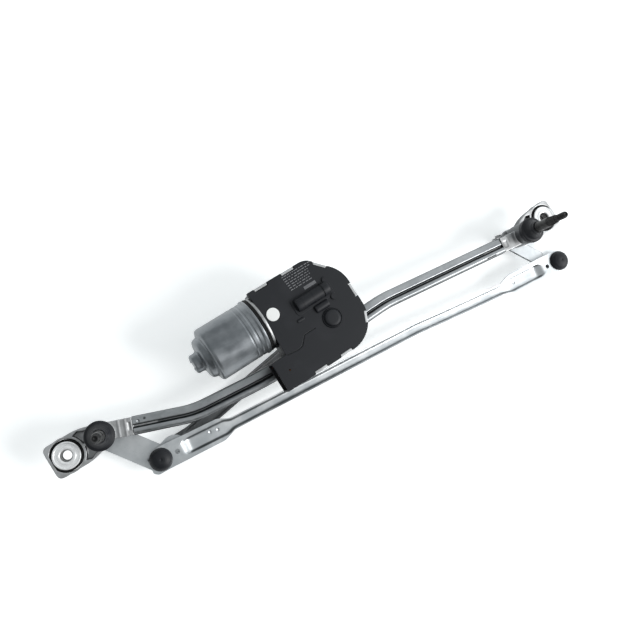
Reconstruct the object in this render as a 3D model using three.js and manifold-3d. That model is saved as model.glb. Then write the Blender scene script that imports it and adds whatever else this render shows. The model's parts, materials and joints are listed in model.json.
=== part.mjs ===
// Windscreen wiper linkage with its reversing motor, as an assembly of separate pieces.
// Millimetres. The origin is on the left wiper shaft, on the surface that the assembly lies on.
// +X runs to the right wiper shaft, +Z along both shafts towards their tips.
import * as THREE from 'three';
import { ConvexGeometry } from 'three/addons/geometries/ConvexGeometry.js';
import { mergeVertices } from 'three/addons/utils/BufferGeometryUtils.js';
import Module from 'manifold-3d';

const wasm = await Module();
wasm.setup();

// ---- driving dimensions --------------------------------------------------------------------
const SPAN = 560;              // left wiper shaft to right wiper shaft
const GAP = 0.3;               // clearance between pieces that touch or turn on each other
const LEVER_ANGLE = -49.7;     // direction of both wiper levers at park, degrees from +X
const LEVER_R = 68;            // wiper shaft to the long rod's ball
const DRIVE_ANGLE = -37.7;     // direction of the drive ball on the left lever
const DRIVE_R = 78.8;          // left wiper shaft to the drive ball
const OUTPUT = { x: 270.6, y: 7.3 };   // output shaft of the motor
const MOTOR_TURN = 7;          // motor axis, degrees from +X
const CRANK_R = 50;            // output shaft to the crank's ball
const ARMATURE_V = 36.5;       // output shaft to the armature axis, across the motor
const ARMATURE_Z = 64;

const LEVER_Z = [12.5, 16.5];
const CRANK_Z = [23, 28];
const LONG_ROD_TOP = 26;
const SHORT_ROD_TOP = 7;
const SHEET = 2;               // sheet thickness of both rods
const RAIL_Z = 40;             // middle of the rail
const RAIL_WALL = 1.5;
const SHAFT_R = 6;
const SHAFT_TIP = 136;
const TOWER_TOP = 61.5;
const EAR_REACH = 38.3;        // wiper shaft to the mounting bush
const EAR_Z = [33, 44.5];
const EAR_END = 56.5;          // wiper shaft to the far end of the ear
const EAR_WALL = 3;            // wall that closes the grommet's seat at the far end
const BUSH_HOLE_R = 5.5;
const BASE_Z = [52.6, 73.4];     // gear housing
const COVER_Z = [74.6, 84];
const COVER_WALL = 2.2;
const CAN_R = 31;
const CAN_WALL = 1.8;

const rad = THREE.MathUtils.degToRad;
const polar = (r, degrees) => ({ x: r * Math.cos(rad(degrees)), y: r * Math.sin(rad(degrees)) });
const BALL_A = polar(LEVER_R, LEVER_ANGLE);
const BALL_B = polar(DRIVE_R, DRIVE_ANGLE);
const CRANK_ANGLE = THREE.MathUtils.radToDeg(Math.atan2(OUTPUT.y - BALL_B.y, OUTPUT.x - BALL_B.x));
const CRANK_END = polar(CRANK_R, CRANK_ANGLE);
const BALL_C = { x: OUTPUT.x + CRANK_END.x, y: OUTPUT.y + CRANK_END.y };
const SHORT_ROD_LENGTH = Math.hypot(BALL_C.x - BALL_B.x, BALL_C.y - BALL_B.y);

// ---- materials -----------------------------------------------------------------------------
function finish(color, roughness, metalness) {
  return new THREE.MeshStandardMaterial({ color, roughness, metalness });
}

const zinc = finish(0xb9c0c4, 0.35, 1);
const galvanised = finish(0x9aa1a6, 0.45, 1);
const darkSteel = finish(0x55585c, 0.5, 1);
const blackSteel = finish(0x1c1c1e, 0.5, 0.6);
const castAluminium = finish(0xb4b5b3, 0.5, 1);
const turnedAluminium = finish(0xe6e6e3, 0.35, 1);
const canSteel = finish(0x6f757b, 0.4, 0.7);
const blackPlastic = finish(0x1e2024, 0.55, 0);
const greyPlastic = finish(0xd8d6cc, 0.6, 0);
const rubber = finish(0x141414, 0.8, 0);
const boardGreen = finish(0x1d5b3a, 0.6, 0);
const copper = finish(0xb4653a, 0.4, 1);
const ferrite = finish(0x3a3a3c, 0.8, 0);
const whiteFilm = finish(0xf4f4f2, 0.7, 0);

// ---- solid helpers -------------------------------------------------------------------------
function solidOf(geometry) {
  const bare = geometry.clone();
  bare.deleteAttribute('normal');
  bare.deleteAttribute('uv');
  const merged = mergeVertices(bare, 1e-4);
  const vertProperties = new Float32Array(merged.attributes.position.array);
  const triVerts = new Uint32Array(merged.index.array);
  return new wasm.Manifold(new wasm.Mesh({ numProp: 3, vertProperties, triVerts }));
}

function geometryOf(solid) {
  const { vertProperties, triVerts } = solid.getMesh();
  const geometry = new THREE.BufferGeometry();
  geometry.setAttribute('position', new THREE.BufferAttribute(new Float32Array(vertProperties), 3));
  geometry.setIndex(new THREE.BufferAttribute(new Uint32Array(triVerts), 1));
  return geometry;
}

function fuse(...pieces) {
  return geometryOf(pieces.map(solidOf).reduce((whole, piece) => whole.add(piece)));
}

function cut(body, ...tools) {
  return geometryOf(tools.map(solidOf).reduce((rest, tool) => rest.subtract(tool), solidOf(body)));
}

// A solid of revolution about +Z from [radius, z] points.
function turned(points, sides = 16) {
  const profile = points.map(([r, z]) => new THREE.Vector2(r, z));
  return new THREE.LatheGeometry(profile, sides).rotateX(Math.PI / 2);
}

function disc(radius, [z0, z1], { x = 0, y = 0, sides = 16 } = {}) {
  return turned([[0, z0], [radius, z0], [radius, z1], [0, z1]], sides).translate(x, y, 0);
}

function ring(inner, outer, [z0, z1], sides = 16) {
  return turned([[inner, z0], [outer, z0], [outer, z1], [inner, z1], [inner, z0]], sides);
}

function box([x0, x1], [y0, y1], [z0, z1]) {
  const geometry = new THREE.BoxGeometry(x1 - x0, y1 - y0, z1 - z0);
  return geometry.translate((x0 + x1) / 2, (y0 + y1) / 2, (z0 + z1) / 2);
}

function prism(shape, [z0, z1], curveSegments = 5) {
  const settings = { depth: z1 - z0, bevelEnabled: false, curveSegments };
  return new THREE.ExtrudeGeometry(shape, settings).translate(0, 0, z0);
}

// The plate that wraps round a set of circles, such as a lever from hub to ball.
function strap(circles, [z0, z1], sides = 20) {
  const points = [];
  for (const { x, y, r } of circles) {
    for (let i = 0; i < sides; i++) {
      const a = 2 * Math.PI * i / sides;
      points.push(new THREE.Vector3(x + r * Math.cos(a), y + r * Math.sin(a), z0));
      points.push(new THREE.Vector3(x + r * Math.cos(a), y + r * Math.sin(a), z1));
    }
  }
  return new ConvexGeometry(points);
}

// A closed skin over a row of rings along +X, each with as many points, anticlockwise seen from +X.
function loft(rings) {
  const count = rings[0].length;
  const position = rings.flat(2);
  const index = [];
  for (let k = 0; k + 1 < rings.length; k++) {
    for (let i = 0; i < count; i++) {
      const a = k * count + i;
      const b = k * count + (i + 1) % count;
      index.push(a, b, b + count, a, b + count, a + count);
    }
  }
  const geometry = new THREE.BufferGeometry();
  const caps = [0, rings.length - 1].map((k) => capTriangles(rings[k], k * count, k === 0));
  geometry.setAttribute('position', new THREE.Float32BufferAttribute(position, 3));
  geometry.setIndex(index.concat(...caps));
  return geometry;
}

// Each end ring is flat and faces along X or nearly so, so it is filled as seen along X.
function capTriangles(ringPoints, offset, first) {
  const flat = ringPoints.map(([, y, z]) => new THREE.Vector2(y, z));
  const faces = THREE.ShapeUtils.triangulateShape(flat, []);
  return faces.flatMap(([a, b, c]) => (first ? [a, c, b] : [a, b, c]).map((i) => i + offset));
}

const assembly = new THREE.Group();

function node(name, geometry, material, group = assembly) {
  const mesh = new THREE.Mesh(geometry, material);
  mesh.name = name;
  group.add(mesh);
}

function groupAt(x, y, degrees = 0) {
  const group = new THREE.Group();
  group.position.set(x, y, 0);
  group.rotation.z = rad(degrees);
  assembly.add(group);
  return group;
}

// ---- frame rail ----------------------------------------------------------------------------
// Roll-formed steel: a broad flat on the +Y side, a groove, and a round lobe on the -Y side.
function railRing(x, y, slope, inset) {
  const half = 10 - inset;
  const lift = 9 - inset;
  const section = [
    [half, -lift + 2], [half, lift - 4.5], [half - 1.5, lift - 3], [0.6 + inset, lift - 1.8],
    [-0.6, lift - 4.4], [-2 - inset, lift - 1.2], [-4, lift], [-6.6, lift], [-half + 1, lift - 1.8],
    [-half, lift - 4.4], [-half, -lift + 2], [-half + 2, -lift], [half - 2, -lift],
  ];
  const sideways = Math.cos(slope);
  return section.map(([n, z]) => [x - n * Math.sin(slope), y + n * sideways, RAIL_Z + z]);
}

function railPath() {
  const path = new THREE.CurvePath();
  const at = (x, y) => new THREE.Vector2(x, y);
  const bends = [[33, -5.5], [97, -22], [184, -20.6], [272, -13], [332, -3.6], [352, -1], [524, -1.4]];
  const reach = [0, 14, 16, 24, 9, 9, 0];
  let last = at(...bends[0]);
  for (let i = 1; i + 1 < bends.length; i++) {
    const corner = at(...bends[i]);
    const toward = (other) => corner.clone().lerp(other, reach[i] / corner.distanceTo(other));
    const before = toward(at(...bends[i - 1]));
    const after = toward(at(...bends[i + 1]));
    path.add(new THREE.LineCurve(last, before));
    path.add(new THREE.QuadraticBezierCurve(before, corner, after));
    last = after;
  }
  path.add(new THREE.LineCurve(last, at(...bends[bends.length - 1])));
  return path;
}

function railSkin(inset, overshoot) {
  const rings = [];
  const curves = railPath().curves;
  const last = curves[curves.length - 1];
  const stations = curves.flatMap((curve) => {
    const steps = curve instanceof THREE.LineCurve ? [0] : [0, 0.5];
    return steps.map((t) => [curve.getPoint(t), curve.getTangent(t)]);
  });
  stations.push([last.getPoint(1), last.getTangent(1)]);
  stations.forEach(([point, tangent], i) => {
    const end = i === 0 ? -overshoot : i === stations.length - 1 ? overshoot : 0;
    const slope = Math.atan2(tangent.y, tangent.x);
    rings.push(railRing(point.x + end * tangent.x, point.y + end * tangent.y, slope, inset));
  });
  return loft(rings);
}

node('frame_rail', cut(railSkin(0, 0), railSkin(RAIL_WALL, 1)), galvanised);

// ---- bearing housings at both ends ---------------------------------------------------------
function earShape() {
  const shape = new THREE.Shape();
  shape.moveTo(0, -13.5);
  shape.lineTo(18, -18.6);
  shape.lineTo(EAR_END - 8, -18.6);
  shape.quadraticCurveTo(EAR_END - 1, -18, EAR_END, -12);
  shape.lineTo(EAR_END, 12);
  shape.quadraticCurveTo(EAR_END - 1, 18, EAR_END - 8, 18.6);
  shape.lineTo(18, 18.6);
  shape.lineTo(0, 13.5);
  return shape;
}

function earPocket(side) {
  const shape = new THREE.Shape();
  shape.moveTo(14.5, side * 1.6);
  shape.lineTo(19.4, side * 1.6);
  shape.absarc(EAR_REACH, 0, 19, rad(180 - side * 5), rad(180 - side * 44), side > 0);
  shape.lineTo(18.5, side * 15.8);
  shape.lineTo(12.8, side * 13.2);
  shape.absarc(0, 0, 15.4, rad(side * 57), rad(side * 7), side > 0);
  return shape;
}

function housing({ earAngle, railAngle, railOffset, railStart }) {
  const alongRail = (geometry) => geometry.translate(0, railOffset, 0).rotateZ(rad(railAngle));
  const floor = EAR_Z[0] + 3;
  const tower = turned([[0, 18.6], [12.6, 18.6], [14, 30], [14, 58], [13.4, TOWER_TOP], [0, TOWER_TOP]], 24);
  const ear = cut(prism(earShape(), EAR_Z),
    disc(17, [30, 50], { x: EAR_REACH, sides: 24 }),
    prism(earPocket(1), [floor, 50]), prism(earPocket(-1), [floor, 50]));
  const farWall = box([EAR_END - EAR_WALL, EAR_END - 0.1], [-9.6, 9.6], EAR_Z);
  const block = box([8, railStart - GAP], [-9.4, 9.4], [32, 48]);
  const tongue = box([railStart - 4, railStart + 26], [-7, 7], [34, 42]);
  const ribs = [0, 1].map((i) => box([18 + 7 * i, 20 + 7 * i], [-9.9, 9.9], [31.6, 48.6]));
  const bore = disc(8.1 + GAP, [10, 70]);
  const spigot = [block, tongue, ...ribs].map(alongRail);
  return cut(fuse(tower, fuse(ear, farWall).rotateZ(rad(earAngle)), ...spigot), bore);
}

function mountingBush() {
  const [z0, z1] = [EAR_Z[0] - 3, EAR_Z[1] + 2.6];
  return turned([[BUSH_HOLE_R, z0], [13, z0], [13, z0 + 1.6], [8, z0 + 1.6], [8, z1 - 2],
    [14.3, z1 - 2], [14.3, z1], [BUSH_HOLE_R, z1], [BUSH_HOLE_R, z0]], 20);
}

function grommet() {
  const [z0, z1] = [EAR_Z[0] - 1, EAR_Z[1] + 0.2];
  const ringShape = turned([[8 + GAP, z0], [15, z0], [16.7, z0 + 2], [16.7, z1], [8 + GAP, z1],
    [8 + GAP, z0]], 20);
  return cut(ringShape, box([EAR_END - EAR_WALL - GAP - EAR_REACH, 20], [-20, 20], [20, 60]));
}

const ENDS = [
  { side: 'left', x: 0, earAngle: 185.6, railAngle: -14.5, railOffset: 2.9, railStart: 33.3 },
  { side: 'right', x: SPAN, earAngle: 11.5, railAngle: 179.9, railOffset: 1.4, railStart: 36 },
];
for (const end of ENDS) {
  const { side, x, earAngle } = end;
  const place = groupAt(x, 0);
  node(`${side}_housing`, housing(end), castAluminium, place);
  node(`${side}_bearing_sleeve`, ring(SHAFT_R + GAP, 8.1, [20, 60]), greyPlastic, place);
  const bushSpot = polar(EAR_REACH, earAngle);
  const bushPlace = groupAt(x + bushSpot.x, bushSpot.y, earAngle);
  node(`${side}_grommet`, grommet(), rubber, bushPlace);
  node(`${side}_bush`, mountingBush(), turnedAluminium, bushPlace);
}
node('rail_clip', box([SPAN - 39, SPAN - 21], [8.9, 12.6], [36, 47]), darkSteel);

// ---- wiper shafts and levers ---------------------------------------------------------------
function ballArc(radius, centreZ, fromDegrees, toDegrees, steps = 4) {
  return Array.from({ length: steps + 1 }, (_, i) => {
    const a = rad(fromDegrees + (toDegrees - fromDegrees) * i / steps);
    return [radius * Math.cos(a), centreZ + radius * Math.sin(a)];
  });
}

function pivotShaft() {
  return turned([[0, 0], [SHAFT_R, 0], [SHAFT_R, 104], [5.6, 105], [4.7, 118], [4, 119], [4, 134.6],
    [3, SHAFT_TIP], [0, SHAFT_TIP]]);
}

function leverPlate(withDriveBall) {
  const hub = { x: 0, y: 0, r: 14 };
  const end = { ...BALL_A, r: 14.6 };
  const arm = strap([hub, end], LEVER_Z);
  const lobe = strap([{ ...BALL_A, r: 12 }, { ...BALL_B, r: 14.8 }], LEVER_Z);
  const holeZ = [0, 30];
  const shaftHole = disc(SHAFT_R + GAP, holeZ);
  const ballHole = disc(4 + GAP, holeZ, BALL_A);
  if (!withDriveBall) return cut(arm, shaftHole, ballHole);
  return cut(fuse(arm, lobe), shaftHole, ballHole, disc(4 + GAP, holeZ, BALL_B));
}

function upperBallStud() {
  return turned([[0, 11.2], [5.4, 11.2], [5.4, 12.2], [4, 12.2], [4, 16.8], [6, 16.8], [6, 18.2],
    [4, 18.8], ...ballArc(6.5, 25, -54, 90)], 14);
}

function driveBallStud() {
  return turned([...ballArc(5.2, 6, -90, 48), [3.5, 10.6], [3.5, 12.1], [4, 12.2], [4, 16.8],
    [5.4, 16.8], [5.4, 17.8], [0, 17.8]], 14);
}

function dustCap() {
  return turned([[SHAFT_R + GAP, 65.4], [14.3, 65.4], [14.3, 60], [15.5, 60], [15.5, 66.6],
    [12.4, 68], [9, 73], [7.2, 80], [SHAFT_R + GAP, 80], [SHAFT_R + GAP, 65.4]], 20);
}

const driveHub = () => ring(SHAFT_R + GAP, 11, [0, 12.2]);
const retainingRing = () => ring(SHAFT_R + GAP, 9.6, [16.8, 18.2]);

for (const { side, x } of ENDS) {
  const place = groupAt(x, 0);
  node(`${side}_pivot_shaft`, pivotShaft(), blackSteel, place);
  node(`${side}_lever`, leverPlate(side === 'left'), zinc, place);
  node(`${side}_drive_hub`, driveHub(), zinc, place);
  node(`${side}_retaining_ring`, retainingRing(), darkSteel, place);
  node(`${side}_dust_cap`, dustCap(), blackPlastic, place);
  node(`${side}_ball_stud`, upperBallStud(), zinc, groupAt(x + BALL_A.x, BALL_A.y));
}
node('drive_ball_stud', driveBallStud(), zinc, groupAt(BALL_B.x, BALL_B.y));

// ---- rods ----------------------------------------------------------------------------------
// One station of a pressed rod: a plate with a trough pressed down along its middle.
function rodRing({ x, low, high, trough, depth, y = 0 }, top) {
  const wall = Math.min(3, depth);
  const upper = [[low, top], [-trough - wall, top], [-trough, top - depth], [trough, top - depth],
    [trough + wall, top], [high, top]];
  const lower = upper.map(([n, z]) => [n, z - SHEET]);
  return [...lower, ...upper.reverse()].map(([n, z]) => [x, y + n, z]);
}

function longRod() {
  const flat = (x, low, high) => ({ x, low, high, trough: 3, depth: 0.02 });
  const wide = (x, half, depth, y = 0) => ({ x, low: -half, high: half, trough: 6, depth, y });
  const slim = (x, y) => ({ x, low: -7, high: 7, trough: 3, depth: 5, y });
  const stations = [
    flat(-13, -10, 4), flat(-9, -14.4, 9.6), flat(-3, -13.8, 13), flat(8, -13.4, 13.8),
    flat(25, -13.4, 13.6), wide(28, 13.4, 0.5), wide(34, 13.2, 5), wide(72, 13, 5),
    wide(78, 10.5, 5), slim(86, 0), slim(338, 3.6), slim(380, 1.8), slim(466, -0.6),
    wide(480, 12.5, 5, -0.6), wide(486, 14, 5, -0.4), wide(526, 14.4, 5), wide(532, 14.4, 0.5),
    flat(536, -14.6, 14.4), flat(562, -14.2, 14.2), flat(568, -12, 12), flat(573, -6, 6),
  ];
  const holes = [0, SPAN].map((x) => disc(10, [10, 40], { x, sides: 20 }));
  const gauges = [19.2, SPAN - 19.2].map((x) => disc(2.7, [10, 40], { x, sides: 10 }));
  return cut(loft(stations.map((station) => rodRing(station, LONG_ROD_TOP))), ...holes, ...gauges);
}

function shortRod() {
  const flat = (x, half) => ({ x, low: -half, high: half, trough: 3, depth: 0.02 });
  const deep = (x, half) => ({ x, low: -half, high: half, trough: 4, depth: 3.4 });
  const half = [flat(-12.5, 5), flat(-9, 10), flat(-3, 12.4), flat(4, 12.4), flat(14, 10.5),
    deep(24, 9), deep(40, 8.5)];
  const mirrored = half.map((station) => ({ ...station, x: SHORT_ROD_LENGTH - station.x })).reverse();
  const holes = [0, SHORT_ROD_LENGTH].map((x) => disc(8, [0, 20], { x }));
  return cut(loft([...half, ...mirrored].map((station) => rodRing(station, SHORT_ROD_TOP))), ...holes);
}

function longRodSocket() {
  return turned([[0, 34.2], [6, 33.6], [11, 30.6], [12.7, 27.2], [12.7, 26.3], [9.7, 26.3],
    [9.7, 19.2], [5.4, 19.2], [4.6, 20], ...ballArc(6.8, 25, -47, 90)].reverse(), 20);
}

function shortRodSocket() {
  return turned([[0, 0], [9.5, 0], [9.5, 4.7], [7.7, 4.7], [7.7, 10.4], [4.6, 10.4], [4, 9.8],
    ...ballArc(5.5, 6, 43, -82), [0, 0.55]], 16);
}

const longRodPlace = groupAt(BALL_A.x, BALL_A.y);
node('long_rod', longRod(), zinc, longRodPlace);
node('long_rod_left_socket', longRodSocket(), blackPlastic, longRodPlace);
node('long_rod_right_socket', longRodSocket().translate(SPAN, 0, 0), blackPlastic, longRodPlace);
const shortRodPlace = groupAt(BALL_B.x, BALL_B.y, CRANK_ANGLE);
node('short_rod', shortRod(), darkSteel, shortRodPlace);
node('short_rod_lever_socket', shortRodSocket(), blackPlastic, shortRodPlace);
node('short_rod_crank_socket', shortRodSocket().translate(SHORT_ROD_LENGTH, 0, 0), blackPlastic, shortRodPlace);

// ---- crank, output shaft and worm wheel ----------------------------------------------------
function crankBallStud() {
  return turned([...ballArc(5.2, 16.6, -90, 48), [4, 21], [5.4, 21.2], [5.4, 22.7], [4, 22.7], [4, 28.3],
    [5, 28.3], [4.4, 29.6], [0, 29.6]], 14).translate(CRANK_R, 0, 0);
}

function crankArm() {
  const arm = strap([{ x: 0, y: 0, r: 13 }, { x: CRANK_R, y: 0, r: 10.5 }], CRANK_Z);
  return cut(arm, disc(5 + GAP, [0, 40]), disc(4 + GAP, [0, 40], { x: CRANK_R }));
}

function hexNut() {
  return cut(disc(7.5, [16.4, 22.7], { sides: 6 }), disc(5 + GAP, [0, 40]));
}

function wormWheel() {
  const teeth = 30;
  const outline = new THREE.Shape();
  for (let i = 0; i < teeth; i++) {
    [[-0.3, 29.2], [-0.16, 30.7], [0.16, 30.7], [0.3, 29.2]].forEach(([step, r], k) => {
      const a = 2 * Math.PI * (i + step) / teeth;
      const move = i + k === 0 ? 'moveTo' : 'lineTo';
      outline[move](r * Math.cos(a), r * Math.sin(a));
    });
  }
  const hub = disc(9, [57, 71]);
  return cut(fuse(prism(outline, [58, 70]), hub), disc(5 + GAP, [50, 80]));
}

const crankPlace = groupAt(OUTPUT.x, OUTPUT.y, CRANK_ANGLE);
node('output_shaft', disc(5, [14.5, 72.5]), zinc, crankPlace);
node('crank_arm', crankArm(), zinc, crankPlace);
node('crank_nut', hexNut(), zinc, crankPlace);
node('crank_ball_stud', crankBallStud(), zinc, crankPlace);
node('worm_wheel', wormWheel(), greyPlastic, crankPlace);

// ---- gear housing, bracket and cover, drawn along the motor axis ---------------------------
const motorPlace = groupAt(OUTPUT.x, OUTPUT.y, MOTOR_TURN);
const EDGE = { left: -66, top: 71, right: 39.5, bottom: -42, corner: 38 };

function casingShape(inset) {
  const { left, top, right, bottom, corner } = EDGE;
  const r = corner - inset;
  const shape = new THREE.Shape();
  shape.moveTo(left + inset, bottom + inset);
  shape.lineTo(right - corner, bottom + inset);
  shape.absarc(right - corner, bottom + corner, r, rad(-90), 0, false);
  shape.lineTo(right - inset, 24);
  shape.quadraticCurveTo(right - inset, 40, 27.5 - inset * 0.7, 51 - inset * 0.7);
  shape.lineTo(14.5 - inset * 0.6, 64.5 - inset * 0.8);
  shape.quadraticCurveTo(9, top - inset, 0, top - inset);
  shape.lineTo(left + inset, top - inset);
  return shape;
}

// A solid of revolution about the armature axis from [radius, u] points, u along the motor.
function turnedAlongMotor(points, sides = 24) {
  return turned(points, sides).rotateY(Math.PI / 2).translate(0, ARMATURE_V, ARMATURE_Z);
}

const SCREW_SPOTS = [[-40, 18], [27, 33], [2, -36.5]];

function gearHousing() {
  const block = prism(casingShape(1.2), BASE_Z);
  const flange = turnedAlongMotor([[0, -70], [CAN_R + 0.4, -70], [CAN_R + 0.4, -66.4], [0, -66.4]], 28);
  const neck = box([-68, -64], [8, 65], BASE_Z);
  const boss = disc(8.4, [29.2, 60]);
  const wheelRoom = disc(33.2, [56.6, 80], { sides: 28 });
  const wormRoom = box([-62, 17], [ARMATURE_V - 8, ARMATURE_V + 8], [55.6, 80]);
  const shaftRoom = turnedAlongMotor([[0, -71], [6, -71], [6, -50], [0, -50]], 16);
  const sideRoom = box([-61, -38], [-36, 24], [60, 80]);
  const screwHoles = SCREW_SPOTS.map(([x, y]) => disc(2.5 + GAP, [50, 64], { x, y, sides: 16 }));
  const rooms = [wheelRoom, wormRoom, shaftRoom, sideRoom, disc(6.7, [20, 60])];
  return cut(fuse(block, neck, flange, boss), ...rooms, ...screwHoles);
}

function motorBracket() {
  const shape = new THREE.Shape();
  shape.moveTo(-56, -37);
  shape.lineTo(30, -41);
  shape.lineTo(38, -20);
  shape.lineTo(37, 40);
  shape.lineTo(20, 43);
  shape.lineTo(4, 28);
  shape.lineTo(-28, 28);
  shape.lineTo(-50, 26);
  const holes = SCREW_SPOTS.map(([x, y]) => disc(3, [40, 60], { x, y, sides: 16 }));
  return cut(prism(shape, [49.4, 52.2]), disc(9, [40, 60]), ...holes);
}

function bracketScrew([x, y]) {
  const head = disc(5, [44.6, 49.1], { x, y, sides: 6 });
  return fuse(head, disc(2.5, [48, 63], { x, y, sides: 16 }));
}

function capsule(u, v, length, radius, z, sides = 16) {
  const barrel = disc(radius, [-length / 2, length / 2], { sides }).rotateY(Math.PI / 2);
  return barrel.translate(u, v, z);
}

const PLUG = { u: [-84.5, -65.2], v: [-41.5, -6.5], z: [60, 84] };

function electronicsCover() {
  const lid = prism(casingShape(0), COVER_Z);
  const hollow = prism(casingShape(COVER_WALL), [COVER_Z[0] - 1, COVER_Z[1] - COVER_WALL]);
  const shroud = box(PLUG.u, PLUG.v, PLUG.z);
  const inner = ([low, high]) => [low + 2, high - 2];
  const socket = box([PLUG.u[0] - 1, PLUG.u[1] - 2], inner(PLUG.v), inner(PLUG.z));
  const bulge = capsule(-7, 31.5, 44, 8.6, COVER_Z[1] - 1);
  const bulgeRoom = capsule(-7, 31.5, 40, 6.9, COVER_Z[1] - 1);
  const smallBulge = capsule(-3, 17, 18, 5, COVER_Z[1] - 1.5);
  const top = COVER_Z[1];
  const dome = turned([[0, 80], [11.4, 80], [11.4, top + 1.4], [9, top + 3], [0, top + 3.6]], 20);
  const ventSeat = disc(8, [COVER_Z[1] - 0.8, 90], { x: -54.5, y: 37.4 });
  return cut(fuse(lid, shroud, bulge, smallBulge, dome), hollow, socket, bulgeRoom, ventSeat);
}

function connectorPins() {
  const inner = ([low, high]) => [low + 2.4, high - 2.4];
  const header = box([-69.4, -67.6], inner(PLUG.v), inner(PLUG.z));
  const pins = [0, 1, 2, 3, 4].map((i) => {
    const v = -35.5 + 5.8 * i;
    return box([-79, -69], [v, v + 1.6], [71.2, 72.8]);
  });
  return fuse(header, ...pins);
}

node('gear_housing', gearHousing(), castAluminium, motorPlace);
node('motor_bracket', motorBracket(), galvanised, motorPlace);
SCREW_SPOTS.forEach((spot, i) => node(`bracket_screw_${i + 1}`, bracketScrew(spot), zinc, motorPlace));
node('output_bush', ring(5 + GAP, 6.4, [29.2, 54]), greyPlastic, motorPlace);
node('electronics_cover', electronicsCover(), blackPlastic, motorPlace);
const coverSeal = cut(prism(casingShape(1.4), [73.7, 74.3]), prism(casingShape(4), [73, 76]));
node('cover_seal', coverSeal, rubber, motorPlace);
node('circuit_board', prism(casingShape(5), [75.2, 76.8]), boardGreen, motorPlace);
node('capacitor', capsule(-7, 31.5, 36, 6, COVER_Z[1] - 1), blackPlastic, motorPlace);
node('connector_pins', connectorPins(), copper, motorPlace);
const ventDisc = disc(7.4, [COVER_Z[1] - 0.5, COVER_Z[1] + 0.1], { x: -54.5, y: 37.4 });
node('vent_membrane', ventDisc, whiteFilm, motorPlace);

// ---- motor can and armature ----------------------------------------------------------------
function motorCan() {
  const r = CAN_R;
  const w = CAN_WALL;
  const outside = [[0, -153.6], [9.6, -153.6], [10.8, -152.4], [10.8, -144], [20, -142.6],
    [23, -139.6], [23.6, -135.2], [28.6, -134], [r, -131.2], [r, -77], [r + 1.4, -76.4],
    [r + 1.4, -73.6]];
  const inside = [[r - w, -73.6], [r - w, -130], [28, -132], [21.6, -133.4], [21, -138.4],
    [19, -140.6], [8.6, -142], [8.6, -151.6], [0, -151.6]];
  return turnedAlongMotor([...outside, ...inside]);
}

function magnet(side) {
  const shape = new THREE.Shape();
  shape.absarc(0, 0, 28.6, rad(side * 90 - 55), rad(side * 90 + 55), false);
  shape.absarc(0, 0, 21.8, rad(side * 90 + 55), rad(side * 90 - 55), true);
  const geometry = prism(shape, [-128, -82]);
  return geometry.rotateY(Math.PI / 2).translate(0, ARMATURE_V, ARMATURE_Z);
}

function armatureCore() {
  const slots = 10;
  const shape = new THREE.Shape();
  for (let i = 0; i < slots; i++) {
    [[-0.36, 12], [-0.36, 19.6], [-0.42, 20.8], [0.42, 20.8], [0.36, 19.6], [0.36, 12]].forEach(([step, r], k) => {
      const a = 2 * Math.PI * (i + step) / slots;
      const move = i + k === 0 ? 'moveTo' : 'lineTo';
      shape[move](r * Math.cos(a), r * Math.sin(a));
    });
  }
  const bore = disc(4 + GAP, [-130, -70], { sides: 16 });
  return cut(prism(shape, [-122, -88]), bore).rotateY(Math.PI / 2).translate(0, ARMATURE_V, ARMATURE_Z);
}

function armatureShaft() {
  const pitch = 6.28;
  const thread = [];
  for (let u = -26; u < 10; u += pitch) {
    thread.push([4, u], [5.3, u + 2], [5.3, u + 3], [4, u + 5]);
  }
  return turnedAlongMotor([[0, -150.6], [4, -150.6], [4, -27], ...thread, [4, 14], [0, 14]], 12);
}

const aroundMotor = (inner, outer, [u0, u1], sides = 16) =>
  turnedAlongMotor([[inner, u0], [outer, u0], [outer, u1], [inner, u1], [inner, u0]], sides);
const brush = (side) => box([-79, -74.8], [ARMATURE_V - 2.5, ARMATURE_V + 2.5],
  side > 0 ? [ARMATURE_Z + 9.6, ARMATURE_Z + 19] : [ARMATURE_Z - 19, ARMATURE_Z - 9.6]);

node('motor_can', motorCan(), canSteel, motorPlace);
node('end_bearing', aroundMotor(4 + GAP, 8.2, [-151, -143]), darkSteel, motorPlace);
node('magnet_front', magnet(-1), ferrite, motorPlace);
node('magnet_rear', magnet(1), ferrite, motorPlace);
node('brush_plate', aroundMotor(10, 28, [-74.4, -72.4]), greyPlastic, motorPlace);
node('brush_upper', brush(1), darkSteel, motorPlace);
node('brush_lower', brush(-1), darkSteel, motorPlace);
node('motor_seal', aroundMotor(28.4, CAN_R + 1, [-73.2, -70.4], 24), rubber, motorPlace);
node('armature_shaft', armatureShaft(), zinc, motorPlace);
node('armature_core', armatureCore(), darkSteel, motorPlace);
node('rear_winding', aroundMotor(4 + GAP, 18.5, [-129, -122.3]), copper, motorPlace);
node('front_winding', aroundMotor(4 + GAP, 18.5, [-87.7, -82]), copper, motorPlace);
node('commutator', aroundMotor(4 + GAP, 9.2, [-81.7, -71.6]), copper, motorPlace);

export default assembly;
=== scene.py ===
# %% [markdown]
# # A windscreen wiper linkage with its motor
# Two wiper shafts stand in die-cast housings at the ends of a bent steel rail. A reversing motor sits
# on the rail, and its crank swings both shafts through pressed-steel rods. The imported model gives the
# frame, the bodies and the moving joints. This script dresses it, one piece or finish in each step.

# %% Load the frame
import json
import math

import bmesh
import bpy
from mathutils import Matrix, Vector

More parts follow.
